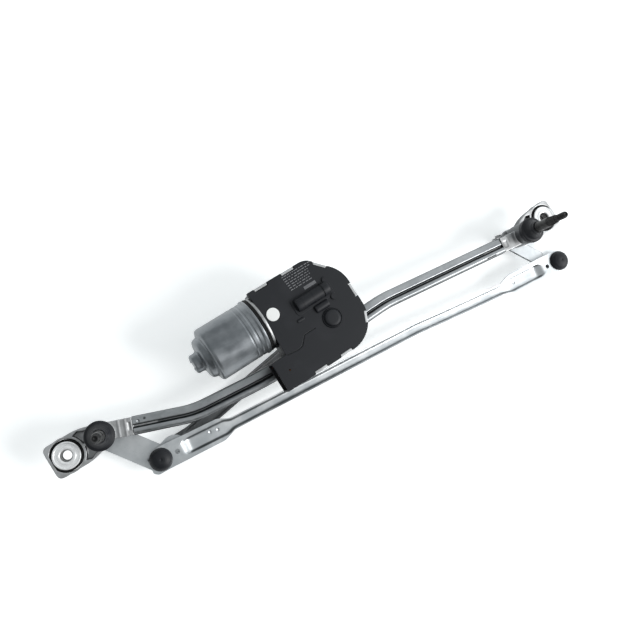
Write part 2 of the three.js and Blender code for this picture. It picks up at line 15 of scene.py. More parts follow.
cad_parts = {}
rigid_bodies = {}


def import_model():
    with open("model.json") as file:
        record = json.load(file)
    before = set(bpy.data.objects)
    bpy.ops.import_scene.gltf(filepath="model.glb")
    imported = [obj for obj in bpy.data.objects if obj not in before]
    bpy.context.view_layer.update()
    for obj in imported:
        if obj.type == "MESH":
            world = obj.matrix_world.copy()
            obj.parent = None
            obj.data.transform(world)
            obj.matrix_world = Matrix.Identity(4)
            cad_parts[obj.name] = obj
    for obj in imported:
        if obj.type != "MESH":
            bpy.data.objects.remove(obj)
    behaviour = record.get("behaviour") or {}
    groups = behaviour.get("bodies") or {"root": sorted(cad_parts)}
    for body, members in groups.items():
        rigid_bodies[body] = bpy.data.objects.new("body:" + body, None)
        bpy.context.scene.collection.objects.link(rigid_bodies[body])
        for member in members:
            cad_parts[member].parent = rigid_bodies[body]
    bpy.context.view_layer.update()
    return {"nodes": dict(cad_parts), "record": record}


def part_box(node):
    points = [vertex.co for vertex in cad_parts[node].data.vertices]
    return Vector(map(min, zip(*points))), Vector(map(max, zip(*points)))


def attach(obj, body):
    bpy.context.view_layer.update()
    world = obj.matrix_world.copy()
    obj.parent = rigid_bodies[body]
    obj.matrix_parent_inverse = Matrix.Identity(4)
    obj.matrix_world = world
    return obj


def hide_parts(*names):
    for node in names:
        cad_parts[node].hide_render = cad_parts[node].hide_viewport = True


for leftover in list(bpy.data.objects):
    bpy.data.objects.remove(leftover)
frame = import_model()
MM = 0.001

# %% [markdown]
# ## The driving sizes
# Everything is placed from a few sizes in millimetres. Where a CAD node already says where a part is,
# its box gives the place, so the looks can never drift away from the moving model.

# %% Places that the frame gives
def middle(node):
    low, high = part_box(node)
    return (low + high) / 2 / MM


LEFT_SHAFT = middle("left_pivot_shaft")
RIGHT_SHAFT = middle("right_pivot_shaft")
SPAN = RIGHT_SHAFT.x - LEFT_SHAFT.x
LEFT_BUSH = middle("left_bush")
RIGHT_BUSH = middle("right_bush")
BALL_A = middle("left_ball_stud")
BALL_B = middle("drive_ball_stud")
BALL_C = middle("crank_ball_stud")
OUTPUT = middle("output_shaft")
SHAFT_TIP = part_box("left_pivot_shaft")[1].z / MM
MOTOR_TURN = math.radians(7)
ARMATURE_V, ARMATURE_Z = 36.5, 64.0
COVER_BASE, COVER_TOP = 74.6, 84.0
CRANK_ANGLE = math.atan2(BALL_C.y - OUTPUT.y, BALL_C.x - OUTPUT.x)
print(f"shafts {SPAN:.0f} mm apart, crank {(BALL_C - OUTPUT).xy.length:.1f} mm long")

# %% [markdown]
# ## The camera
# The view looks almost straight down the wiper shafts from above the left one, a little turned, so the
# far shaft leans to the right. Depth of field stays off.

# %% Camera
camera_data = bpy.data.cameras.new("camera")
camera = bpy.data.objects.new("camera", camera_data)
bpy.context.scene.collection.objects.link(camera)
camera.rotation_mode = "ZYX"
camera.rotation_euler = (0.00952, -0.28521, -0.44050)
camera.location = (0.0475, 0.0041, 0.7976)
camera_data.lens = 38.36
camera_data.clip_start = 0.01
bpy.context.scene.camera = camera
print("camera", tuple(round(c, 3) for c in camera.location))

# %% [markdown]
# ## Mesh helpers
# Most parts of a mechanism are turned, pressed or cast. Three small builders cover them: `lathe` spins
# a profile, `plate` gives an outline its thickness, and `pressed_rod`, further down, presses a trough into a
# sheet rod. Each returns a plain mesh in metres with its place in the mesh.

# %% From numbers to an object
def make_object(name, points, faces, radii=None):
    mesh = bpy.data.meshes.new(name)
    mesh.from_pydata([Vector(p) * MM for p in points], [], faces)
    if radii:
        layer = mesh.attributes.new("turn_radius", "FLOAT", "POINT")
        layer.data.foreach_set("value", [r * MM for r in radii])
    shape = bmesh.new()
    shape.from_mesh(mesh)
    bmesh.ops.recalc_face_normals(shape, faces=shape.faces)
    shape.to_mesh(mesh)
    shape.free()
    piece = bpy.data.objects.new(name, mesh)
    bpy.context.scene.collection.objects.link(piece)
    return piece


def smooth(piece, angle=35):
    mesh = piece.data
    mesh.polygons.foreach_set("use_smooth", [True] * len(mesh.polygons))
    mesh.set_sharp_from_angle(angle=math.radians(angle))
    return piece


def weigh(piece):
    """Lets large flat faces decide the shading, so that only the rounded edges turn."""
    weights = piece.modifiers.new("weights", "WEIGHTED_NORMAL")
    weights.keep_sharp = True
    return bake(piece)


def bake(piece):
    """Turns a piece and its modifiers into a plain mesh."""
    graph = bpy.context.evaluated_depsgraph_get()
    mesh = bpy.data.meshes.new_from_object(piece.evaluated_get(graph))
    old, piece.data = piece.data, mesh
    piece.modifiers.clear()
    bpy.data.meshes.remove(old)
    return piece


def soften(profile, radius):
    """Rounds the corners of an open profile, as every real tool and press does."""
    points = [Vector(p) for p in profile]
    result = [points[0]]
    for before, corner, after in zip(points, points[1:], points[2:]):
        reach = min(radius, (corner - before).length * 0.45, (after - corner).length * 0.45)
        start = corner + (before - corner).normalized() * reach
        end = corner + (after - corner).normalized() * reach
        result += [start, (start + end + corner * 2) / 4, end]
    return [tuple(p) for p in result + [points[-1]]]


def lathe(name, profile, centre=(0, 0), sides=72, rounding=0.4):
    closed = profile[0] == profile[-1]
    profile = soften(profile, rounding) if rounding else list(profile)
    if closed:
        profile = profile[:-1]
    points, radii, rings = [], [], []
    for r, h in profile:
        on_axis = r < 1e-6
        steps = [0] if on_axis else range(sides)
        rings.append([len(points) + k for k in range(len(steps))])
        for k in steps:
            a = 2 * math.pi * k / sides
            points.append((centre[0] + r * math.cos(a), centre[1] + r * math.sin(a), h))
            radii.append(r)
    pairs = list(zip(rings, rings[1:])) + ([(rings[-1], rings[0])] if closed else [])
    faces = []
    for low, high in pairs:
        for k in range(sides):
            quad = [low[k % len(low)], low[(k + 1) % len(low)], high[(k + 1) % len(high)], high[k % len(high)]]
            face = list(dict.fromkeys(quad))
            if len(face) > 2:
                faces.append(face)
    return smooth(make_object(name, points, faces, radii))


def plate(name, outline, z0, z1, bevel=0.0):
    count = len(outline)
    points = [(x, y, z0) for x, y in outline] + [(x, y, z1) for x, y in outline]
    sides = [(k, (k + 1) % count, (k + 1) % count + count, k + count) for k in range(count)]
    piece = make_object(name, points, [list(range(count)), list(range(count, 2 * count)), *sides])
    return soft_edges(piece, bevel) if bevel else piece


def soft_edges(piece, width, segments=2, angle=40):
    edge = piece.modifiers.new("edge", "BEVEL")
    edge.width = width * MM
    edge.segments = segments
    edge.limit_method = "ANGLE"
    edge.angle_limit = math.radians(angle)
    edge.harden_normals = False
    return smooth(bake(piece))


def box_points(u, v, z):
    return [(u[0], v[0]), (u[1], v[0]), (u[1], v[1]), (u[0], v[1])], z[0], z[1]


def block(name, u, v, z, bevel=0.0):
    return plate(name, *box_points(u, v, z), bevel)


print("mesh helpers ready")

# %% Joining, carving and casting
def combine(piece, tools, operation):
    for tool in tools:
        change = piece.modifiers.new("change", "BOOLEAN")
        change.operation = operation
        change.solver = "EXACT"
        change.object = tool
        bake(piece)
        bpy.data.objects.remove(tool)
    return piece


def union(piece, *tools):
    return combine(piece, tools, "UNION")


def carve(piece, *tools):
    return combine(piece, tools, "DIFFERENCE")


def cast(piece, voxel, rounds):
    """A casting has no sharp inner corner: an even skin is laid over it, then relaxed."""
    skin = piece.modifiers.new("skin", "REMESH")
    skin.mode = "VOXEL"
    skin.voxel_size = voxel * MM
    relax = piece.modifiers.new("relax", "SMOOTH")
    relax.iterations = rounds
    relax.factor = 0.5
    return smooth(bake(piece), 60)


def join(name, pieces):
    shape = bmesh.new()
    for piece in pieces:
        shape.from_mesh(piece.data)
        bpy.data.objects.remove(piece)
    mesh = bpy.data.meshes.new(name)
    shape.to_mesh(mesh)
    shape.free()
    whole = bpy.data.objects.new(name, mesh)
    bpy.context.scene.collection.objects.link(whole)
    return smooth(whole)


def place(piece, x=0.0, y=0.0, turn=0.0):
    piece.data.transform(Matrix.Translation((x * MM, y * MM, 0)) @ Matrix.Rotation(turn, 4, "Z"))
    return piece


def on_motor(piece):
    return place(piece, OUTPUT.x, OUTPUT.y, MOTOR_TURN)


def circle(radius, x=0.0, y=0.0, sides=64):
    turns = [2 * math.pi * k / sides for k in range(sides)]
    return [(x + radius * math.cos(a), y + radius * math.sin(a)) for a in turns]


def drill(radius, z0, z1, x=0.0, y=0.0, sides=64):
    return plate("drill", circle(radius, x, y, sides), z0, z1)


print("joining and casting ready")

# %% [markdown]
# ## Writing node trees as sums
# A shader or a geometry tree is easier to read as an expression than as a list of links. `Wire` holds one
# socket: `wire * 2 + 1` adds the Math nodes, and `wire.node(...)` adds any other node.

# %% The wire
class Wire:
    def __init__(self, tree, socket=None):
        self.tree, self.socket = tree, socket

    def node(self, kind, settings=None, inputs=None, output=0):
        new = self.tree.nodes.new(kind)
        for key, value in (settings or {}).items():
            if key == "ramp":
                self.set_ramp(new.color_ramp, value)
            else:
                setattr(new, key, value)
        for key, value in (inputs or {}).items():
            target = new.inputs[key]
            if isinstance(value, Wire):
                self.tree.links.new(value.socket, target)
            elif value is not None:
                target.default_value = value
        return Wire(self.tree, new.outputs[output])

    @staticmethod
    def set_ramp(ramp, stops):
        while len(ramp.elements) < len(stops):
            ramp.elements.new(0.5)
        for element, (position, colour) in zip(ramp.elements, stops):
            element.position = position
            element.color = (*colour, 1) if len(colour) == 3 else colour

    def maths(self, operation, *values, clamp=False):
        settings = {"operation": operation, "use_clamp": clamp}
        return self.node("ShaderNodeMath", settings, dict(enumerate(values)))

    def __add__(self, other):
        return self.maths("ADD", self, other)

    def __sub__(self, other):
        return self.maths("SUBTRACT", self, other)

    def __mul__(self, other):
        return self.maths("MULTIPLY", self, other)

    def __truediv__(self, other):
        return self.maths("DIVIDE", self, other)

    def __rsub__(self, other):
        return self.maths("SUBTRACT", other, self)

    __radd__ = __add__
    __rmul__ = __mul__

    def within(self, low, high):
        """0 below low, 1 above high."""
        spread = {"interpolation_type": "SMOOTHSTEP"}
        return self.node("ShaderNodeMapRange", spread, {"Value": self, "From Min": low, "From Max": high})


print("node trees can be written as sums")

# %% [markdown]
# ## Finishes
# Every finish starts from the same three facts: base colour, how metallic it is and how rough. Then comes
# what the real surface shows at its own scale: the spangle of galvanised sheet, the drawn streaks of
# zinc-plated strip, the orange peel of a blasted casting, the fine grain of moulded plastic.

# %% The finish builder
def noise(wire, coords, scale, detail=3, roughness=0.55):
    inputs = {"Vector": coords, "Scale": scale, "Detail": detail, "Roughness": roughness}
    return wire.node("ShaderNodeTexNoise", None, inputs)


def stretched(wire, coords, scale, turn=0.0):
    return wire.node("ShaderNodeMapping", None, {"Vector": coords, "Scale": scale, "Rotation": (0, 0, turn)})


def mix_colours(wire, factor, first, second):
    inputs = {0: factor, 6: first, 7: second}
    return wire.node("ShaderNodeMix", {"data_type": "RGBA"}, inputs, 2)


def paint_shade_on_steep_faces(wire, colour, dark, low=0.15, high=0.85):
    """Painted shade: faces that stand steep, with a normal far from upright, take the dark colour as shade; flat faces
    keep their colour.
    """
    facing = wire.node("ShaderNodeTexCoord", output=1)
    upright = wire.node("ShaderNodeSeparateXYZ", None, {"Vector": facing}, 2)
    flat = wire.maths("ABSOLUTE", upright).within(low, high)
    return mix_colours(wire, flat, dark, colour)


def grey(level, tint=(0, 0, 0)):
    return tuple(level + t for t in tint) + (1,)


FINISHES = {}


def finish(slot, metallic, build, **constants):
    """build returns the base colour, the roughness and the height of the surface in metres."""
    material = bpy.data.materials.new(slot)
    material.use_nodes = True
    tree = material.node_tree
    shader = tree.nodes["Principled BSDF"]
    shader.inputs["Metallic"].default_value = metallic
    for name, value in constants.items():
        shader.inputs[name.replace("_", " ")].default_value = value
    wire = Wire(tree)
    coords = wire.node("ShaderNodeTexCoord", output=3)
    colour, roughness, height = build(wire, coords)
    tree.links.new(colour.socket, shader.inputs["Base Color"])
    tree.links.new(roughness.socket, shader.inputs["Roughness"])
    bump = wire.node("ShaderNodeBump", None, {"Height": height, "Strength": 1.0, "Distance": 1.0})
    tree.links.new(bump.socket, shader.inputs["Normal"])
    FINISHES[slot] = material
    return material


# %% [markdown]
# ### Bare and plated metals
# Zinc plating is bright and a little blue, with drawn streaks and cloudy stains where it was handled.
# Galvanised sheet shows crystals of a few millimetres, each with its own brightness.

# %% Zinc, galvanised sheet and dark steel
def zinc_plate(wire, coords):
    clouds = noise(wire, coords, 38)
    streaks = noise(wire, stretched(wire, coords, (14, 420, 420)), 1.0, 2)
    pits = noise(wire, coords, 900, 1)
    colour = mix_colours(wire, clouds.within(0.35, 0.7), grey(0.60, (0, 0.022, 0.036)), grey(0.80, (0, 0.012, 0.020)))
    # Painted shade: the steep sides of the zinc-plated parts are coloured near black.
    colour = paint_shade_on_steep_faces(wire, colour, grey(0.10, (0, 0.006, 0.012)))
    roughness = 0.20 + clouds * 0.16 + streaks * 0.14
    return colour, roughness, streaks * 0.000010 + pits * 0.000012


def galvanised_sheet(wire, coords):
    inputs = {"Vector": stretched(wire, coords, (1, 1.6, 1.6)), "Scale": 260, "Randomness": 1.0}
    crystals = wire.node("ShaderNodeTexVoronoi", None, inputs, 1)
    level = wire.node("ShaderNodeSeparateColor", None, {"Color": crystals})
    drawn = noise(wire, stretched(wire, coords, (10, 300, 300)), 1.0, 2)
    stains = noise(wire, coords, 24)
    shade = level * 0.22 + stains.within(0.3, 0.75) * 0.6 + drawn * 0.2
    colour = mix_colours(wire, shade, grey(0.29, (0, 0.012, 0.02)), grey(0.47, (0, 0.012, 0.02)))
    # Painted shade: the steep sides of the galvanised sheet are coloured near black.
    colour = paint_shade_on_steep_faces(wire, colour, grey(0.05, (0, 0.004, 0.008)), 0.3, 0.93)
    roughness = 0.26 + level * 0.10 + drawn * 0.14
    return colour, roughness, drawn * 0.000020 + level * 0.000004


def dark_strip(wire, coords):
    clouds = noise(wire, coords, 60)
    streaks = noise(wire, stretched(wire, coords, (20, 400, 400), 0.26), 1.0, 2)
    colour = mix_colours(wire, clouds, grey(0.13), grey(0.25, (0, 0.005, 0.01)))
    return colour, 0.34 + clouds * 0.2, streaks * 0.000015


def phosphated(wire, coords):
    grain = noise(wire, coords, 1400, 1)
    rubbed = noise(wire, coords, 120)
    colour = mix_colours(wire, rubbed.within(0.5, 0.75), grey(0.012), grey(0.035))
    return colour, 0.38 + rubbed * 0.16, grain * 0.00002


def can_paint(wire, coords):
    drawn = noise(wire, stretched(wire, coords, (9, 90, 90), -0.12), 1.0, 3)
    clouds = noise(wire, coords, 45, 4)
    smudge = (clouds * 0.7 + drawn * 0.3).within(0.36, 0.64)
    grain = noise(wire, coords, 1100, 1)
    colour = mix_colours(wire, smudge, grey(0.17, (0, 0.014, 0.026)), grey(0.26, (0, 0.014, 0.028)))
    return colour, 0.27 + smudge * 0.12 + grain * 0.06, grain * 0.000014 + drawn * 0.00003


finish("zinc_steel", 1.0, zinc_plate)
finish("galvanised_steel", 1.0, galvanised_sheet)
finish("dark_steel", 1.0, dark_strip)
finish("black_steel", 0.35, phosphated)
finish("can_steel", 0.75, can_paint)
print("steel finishes:", len(FINISHES))

# %% [markdown]
# ### Aluminium
# A die casting is blasted: a soft grey with a fine orange peel and brighter rubbed spots. A turned face
# keeps the tool's rings, so its pattern follows `turn_radius`, which `lathe` stores on each point.

# %% Cast and turned aluminium
def blasted_casting(wire, coords):
    peel = noise(wire, coords, 700, 2)
    clouds = noise(wire, coords, 70)
    rubbed = clouds.within(0.55, 0.72)
    colour = mix_colours(wire, clouds.within(0.3, 0.7), grey(0.42), grey(0.62, (0, 0.004, 0.008)))
    # Painted shade: the steep sides of the castings are coloured dark grey.
    colour = paint_shade_on_steep_faces(wire, colour, grey(0.12, (0, 0.004, 0.008)))
    return colour, 0.44 - rubbed * 0.14 + peel * 0.12, peel * 0.00007


def turned_face(wire, coords):
    radius = wire.node("ShaderNodeAttribute", {"attribute_name": "turn_radius"}, None, 2)
    rings = wire.maths("SINE", radius * 16000)
    dust = noise(wire, coords, 160)
    colour = mix_colours(wire, dust.within(0.3, 0.8), grey(0.88), grey(0.97))
    # Painted shade: points within about 6 mm of the axis, the bolt bore and its chamfer, are coloured near black as
    # shade in the hole.
    colour = mix_colours(wire, radius.within(0.0056, 0.0066), grey(0.05), colour)
    return colour, 0.24 + rings * 0.04 + dust * 0.12, rings * 0.000006


finish("cast_aluminium", 1.0, blasted_casting)
finish("turned_aluminium", 0.35, turned_face)
print("aluminium finishes ready")

# %% [markdown]
# ### Plastics, rubber and the rest
# The glass-filled black moulding is not one flat black: its skin has a fine grain, and dust and handling
# leave duller, lighter patches.

# %% Black moulding, rubber and small parts
def black_moulding(wire, coords):
    grain = noise(wire, coords, 1600, 2)
    handled = noise(wire, coords, 28, 4)
    dust = handled.within(0.48, 0.72)
    colour = mix_colours(wire, dust, grey(0.008, (0, 0.001, 0.004)), grey(0.015, (0, 0.001, 0.005)))
    return colour, 0.46 + dust * 0.16 + grain * 0.08, grain * 0.00004


def moulded_rubber(wire, coords):
    grain = noise(wire, coords, 1200, 2)
    bloom = noise(wire, coords, 90)
    colour = mix_colours(wire, bloom.within(0.4, 0.8), grey(0.007), grey(0.018))
    return colour, 0.56 + bloom * 0.2, grain * 0.00006


def speckled(dark, light, rough, size=500):
    def build(wire, coords):
        grain = noise(wire, coords, size, 2)
        patches = noise(wire, coords, 60)
        colour = mix_colours(wire, patches, (*dark, 1), (*light, 1))
        return colour, rough + grain * 0.15, grain * 0.00003
    return build


finish("black_plastic", 0.0, black_moulding, Specular_IOR_Level=0.36)
finish("rubber", 0.0, moulded_rubber, Specular_IOR_Level=0.25)
finish("bearing_plastic", 0.0, speckled((0.62, 0.60, 0.52), (0.72, 0.70, 0.62), 0.4))
finish("white_film", 0.0, speckled((0.90, 0.90, 0.88), (0.97, 0.97, 0.96), 0.55))
finish("label_ink", 0.0, speckled((0.12, 0.12, 0.13), (0.26, 0.26, 0.27), 0.5))
finish("circuit_board", 0.0, speckled((0.02, 0.13, 0.06), (0.03, 0.18, 0.09), 0.35))
finish("copper", 1.0, speckled((0.60, 0.32, 0.16), (0.72, 0.42, 0.24), 0.3))
finish("ferrite", 0.2, speckled((0.07, 0.07, 0.075), (0.11, 0.11, 0.115), 0.6))
finish("brush_carbon", 0.1, speckled((0.03, 0.03, 0.03), (0.05, 0.05, 0.05), 0.6))
print("finishes:", ", ".join(FINISHES))

# %% Putting a piece on its body
def settle(piece, body, slot, *nodes):
    weigh(piece)
    piece.data.materials.clear()
    piece.data.materials.append(FINISHES[slot])
    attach(piece, body)
    slot != "label_ink"
    if nodes:
        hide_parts(*nodes)
    return piece


for entry in frame["record"]["subparts"]:
    node = frame["nodes"][entry["node"]]
    node.data.materials.clear()
    node.data.materials.append(FINISHES[entry["material_slot"]])
print("every CAD node has its finish")

# %% [markdown]
# ## Geometry node trees
# What repeats or follows a path is grown by Geometry Nodes. `geometry_tree` opens a tree with named inputs,
# `close_tree` realises what it grew and gives it its material, and `grow` runs it once and keeps the mesh.

# %% Opening, closing and running a tree
def geometry_tree(name, *sockets):
    tree = bpy.data.node_groups.new(name, "GeometryNodeTree")
    for label, kind in (("Geometry", "Geometry"), *sockets, ("Material", "Material")):
        tree.interface.new_socket(label, in_out="INPUT", socket_type="NodeSocket" + kind)
    tree.interface.new_socket("Geometry", in_out="OUTPUT", socket_type="NodeSocketGeometry")
    group = tree.nodes.new("NodeGroupInput")
    return Wire(tree), {socket.name: Wire(tree, socket) for socket in group.outputs if socket.name}


def close_tree(wire, geometry, given):
    real = wire.node("GeometryNodeRealizeInstances", None, {"Geometry": geometry})
    inputs = {"Geometry": real, "Material": given["Material"]}
    done = wire.node("GeometryNodeSetMaterial", None, inputs)
    output = wire.tree.nodes.new("NodeGroupOutput")
    wire.tree.links.new(done.socket, output.inputs[0])
    return wire.tree


def grow(piece, tree, slot, **values):
    change = piece.modifiers.new("grow", "NODES")
    change.node_group = tree
    values["Material"] = FINISHES[slot]
    for item in tree.interface.items_tree:
        if item.in_out == "INPUT" and item.name in values:
            change[item.identifier] = values[item.name]
    return bake(piece)


def polyline(name, points, closed=False, **attributes):
    count = len(points)
    edges = [(k, k + 1) for k in range(count - 1)] + ([(count - 1, 0)] if closed else [])
    mesh = bpy.data.meshes.new(name)
    mesh.from_pydata([Vector(p) * MM for p in points], edges, [])
    for label, values in attributes.items():
        mesh.attributes.new(label, "FLOAT", "POINT").data.foreach_set("value", values)
    piece = bpy.data.objects.new(name, mesh)
    bpy.context.scene.collection.objects.link(piece)
    return piece


def rounded(points, radius, steps=4):
    """A closed outline with every corner turned into an arc-like curve."""
    result = []
    for k, corner in enumerate(points):
        corner = Vector(corner)
        before, after = Vector(points[k - 1]), Vector(points[(k + 1) % len(points)])
        reach = min(radius, (corner - before).length * 0.45, (after - corner).length * 0.45)
        start = corner + (before - corner).normalized() * reach
        end = corner + (after - corner).normalized() * reach
        for i in range(steps + 1):
            t = i / steps
            result.append(tuple(start * (1 - t) ** 2 + corner * 2 * t * (1 - t) + end * t ** 2))
    return result


print("geometry trees can be grown")

# %% [markdown]
# ## The frame rail
# One roll-formed steel rail carries everything: a broad flat, a groove and a round lobe side by side.
# The section never changes and the path is straight between a few bends, so the rail follows a rule. The
# tree fillets the bends and sweeps the section; Solidify then turns the skin into sheet metal.

# %% Sweep a section along a bent path
def sweep_tree():
    wire, given = geometry_tree("bent_rail", ("Section", "Object"), ("Bend steps", "Int"))
    path = wire.node("GeometryNodeMeshToCurve", None, {"Mesh": given["Geometry"]})
    radius = wire.node("GeometryNodeInputNamedAttribute", {"data_type": "FLOAT"}, {"Name": "bend_radius"})
    inputs = {"Curve": path, "Count": given["Bend steps"], "Radius": radius}
    bent = wire.node("GeometryNodeFilletCurve", {"mode": "POLY"}, inputs)
    upright = wire.node("GeometryNodeSetCurveNormal", {"mode": "Z_UP"}, {"Curve": bent})
    shape = wire.node("GeometryNodeObjectInfo", None, {"Object": given["Section"]}, "Geometry")
    section = wire.node("GeometryNodeMeshToCurve", None, {"Mesh": shape})
    inputs = {"Curve": upright, "Profile Curve": section}
    return close_tree(wire, wire.node("GeometryNodeCurveToMesh", None, inputs), given)


RAIL_BENDS = [(33, -5.5), (97, -22), (184, -20.6), (272, -13), (332, -3.6), (352, -1), (524, -1.4)]
RAIL_REACH = [0, 14, 16, 24, 9, 9, 0]
RAIL_WALL, RAIL_Z = 1.5, 40
RAIL_SECTION = [
    (10, -7), (10, 4.8), (8.9, 6.3), (1.9, 7.1), (0.9, 6.4), (0.1, 1.6), (-1.1, 1.6), (-1.8, 6),
    (-3.1, 8.2), (-4.8, 9), (-6.8, 9), (-8.8, 7.6), (-10, 4.6), (-10, -7), (-8, -9), (8, -9),
]


def bend_radii(points, reaches):
    radii = [0.0]
    for before, corner, after, reach in zip(points, points[1:], points[2:], reaches[1:]):
        turn = (Vector(corner) - Vector(before)).angle(Vector(after) - Vector(corner))
        radii.append(reach / math.tan(turn / 2) * MM)
    return radii + [0.0]


rail = polyline(
    "rail", [(x, y, RAIL_Z) for x, y in RAIL_BENDS], bend_radius=bend_radii(RAIL_BENDS, RAIL_REACH)
)
section_points = [(-n, -z, 0) for n, z in rounded(RAIL_SECTION, 0.7)]
rail_section = polyline("rail_section", section_points, closed=True)
grow(rail, sweep_tree(), "galvanised_steel", Section=rail_section, **{"Bend steps": 10})
bpy.data.objects.remove(rail_section)
low, high = (Vector(c) / MM for c in (rail.bound_box[0], rail.bound_box[6]))
print("rail skin from", tuple(round(c, 1) for c in low), "to", tuple(round(c, 1) for c in high))

# %% Give the skin its sheet thickness
def sheet_metal(piece, thickness, offset=-1.0):
    shape = bmesh.new()
    shape.from_mesh(piece.data)
    bmesh.ops.remove_doubles(shape, verts=shape.verts, dist=0.01 * MM)
    bmesh.ops.recalc_face_normals(shape, faces=shape.faces)
    shape.to_mesh(piece.data)
    shape.free()
    wall = piece.modifiers.new("wall", "SOLIDIFY")
    wall.thickness = thickness * MM
    wall.offset = offset
    wall.use_even_offset = True
    return smooth(bake(piece))


def dimple(radius, x, y, z, depth=0.6):
    """A shallow pressed dent: the cap of a ball that only just reaches the surface."""
    reach = radius * radius / (2 * depth) + depth / 2
    mesh = bpy.data.meshes.new("dimple")
    shape = bmesh.new()
    bmesh.ops.create_uvsphere(shape, u_segments=48, v_segments=32, radius=reach * MM)
    shape.to_mesh(mesh)
    shape.free()
    mesh.transform(Matrix.Translation(Vector((x, y, z + reach - depth)) * MM))
    ball = bpy.data.objects.new("dimple", mesh)
    bpy.context.scene.collection.objects.link(ball)
    return ball


sheet_metal(rail, RAIL_WALL)
carve(
    rail,
    dimple(1.6, 39.6, -3.2, 46.5), drill(1.3, 40, 52, 46.8, -3.3),
    block("notch", (485, 498), (7.6, 12), (44, 52)), block("slot", (496, 510), (-9.2, -8), (44, 52)),
)
smooth(rail)
settle(rail, "frame", "galvanised_steel", "frame_rail")
print("rail:", len(rail.data.polygons), "faces")

# %% [markdown]
# ## The two bearing housings
# Each end of the rail is plugged by an aluminium die casting: a tower for the shaft's bearing, an ear with
# two weight-saving pockets for the mounting bush, and a spigot with crush ribs for the rail. The forms
# are joined with booleans, then one even skin over all of them gives the soft fillets of a casting.

# %% Cast housings
TOWER_TOP, EAR_REACH, EAR_Z = 61.5, 38.3, (33, 44.5)
EAR_END = 56.5
EAR_OUTLINE = [(0, -13.5), (18, -18.6), (EAR_END, -18.6), (EAR_END, 18.6), (18, 18.6), (0, 13.5)]
HOUSINGS = {
    "left": {"x": 0, "ear": 185.6, "rail": -14.5, "offset": 2.9, "start": 33.3},
    "right": {"x": SPAN, "ear": 11.5, "rail": 179.9, "offset": 1.4, "start": 36},
}


def arc(cx, cy, radius, first, last, steps=10):
    turns = [math.radians(first + (last - first) * k / steps) for k in range(steps + 1)]
    return [(cx + radius * math.cos(a), cy + radius * math.sin(a)) for a in turns]


def ear_pocket(side):
    outline = [(14.5, side * 1.4), (19.4, side * 1.4)]
    outline += arc(EAR_REACH, 0, 19.6, 180 - side * 6, 180 - side * 46)
    outline += [(18.5, side * 16), (12.8, side * 13.2)]
    outline += arc(0, 0, 15.6, side * 55, side * 8)
    return plate("pocket", outline, EAR_Z[0] + 3, 60)


def housing(side, spec):
    profile = [(0, 18.6), (12.6, 18.6), (14, 30), (14, 58), (13.4, TOWER_TOP), (0, TOWER_TOP)]
    tower = lathe("tower", profile)
    ear = plate("ear", rounded(EAR_OUTLINE, 7), *EAR_Z)
    carve(ear, ear_pocket(1), ear_pocket(-1), drill(17, 30, 60, EAR_REACH))
    seat = drill(17.1, 20, 60, EAR_REACH)
    carve(seat, block("past_wall", (EAR_END - 3, 80), (-30, 30), (10, 70)))
    collar = drill(19.2, EAR_Z[0] + 1, EAR_Z[1], EAR_REACH)
    carve(collar, block("past_ear", (EAR_END - 1, 80), (-30, 30), (10, 70)))
    union(ear, collar)
    carve(ear, seat)
    place(ear, turn=math.radians(spec["ear"]))
    start = spec["start"] - 0.3
    spigot = block("spigot", (8, start), (-9.4, 9.4), (32, 48))
    ribs = [block("rib", (u, u + 1.6), (-9.6, 9.6), (31.8, 48.3)) for u in (18, 25)]
    tongue = block("tongue", (start - 4, start + 26), (-7, 7), (34, 42))
    union(spigot, *ribs, tongue)
    carve(spigot, block("slot", (28, start - 2), (-4, 5), (47.2, 60)))
    spigot.data.transform(Matrix.Rotation(math.radians(spec["rail"]), 4, "Z")
                          @ Matrix.Translation((0, spec["offset"] * MM, 0)))
    union(tower, ear, spigot)
    carve(tower, drill(8.4, 0, 80))
    cast(tower, 0.6, 3)
    place(tower, spec["x"])
    tower.name = f"{side}_cast_housing"
    return settle(tower, "frame", "cast_aluminium", f"{side}_housing")


for side, spec in HOUSINGS.items():
    print(side, "housing:", len(housing(side, spec).data.polygons), "faces")

# %% [markdown]
# ## Mounting bushes
# The car holds the linkage by a bolt through a turned aluminium sleeve, and a rubber grommet keeps the
# motor's noise out of the body. Both are turned parts, so a profile spun round the bolt makes them. The
# flange keeps its shallow turned groove and the chamfer of the bolt hole.

# %% Bushes and grommets
def bush_profile():
    base, top, hole = EAR_Z[0] - 3, EAR_Z[1] + 2.6, 5.5
    return [
        (hole, base), (13, base), (13, base + 1.6), (8, base + 1.6), (8, top - 2), (14.3, top - 2),
        (14.3, top - 0.5), (13.8, top), (12.6, top), (12.2, top - 0.4), (9.4, top - 0.4), (9, top),
        (7.2, top), (6.4, top - 0.5), (5.5, top - 3), (5.5, base + 6), (4.8, base + 5), (4.8, base + 1),
        (hole, base),
    ]


def grommet_profile():
    base, top = EAR_Z[0] - 1, EAR_Z[1] + 0.2
    return [
        (8.3, base), (15, base), (16.7, base + 2), (16.7, top - 1), (15.9, top), (15.2, top),
        (14.9, top - 1.2), (14.2, top - 1.2), (13.8, top), (8.3, top), (8.3, base),
    ]


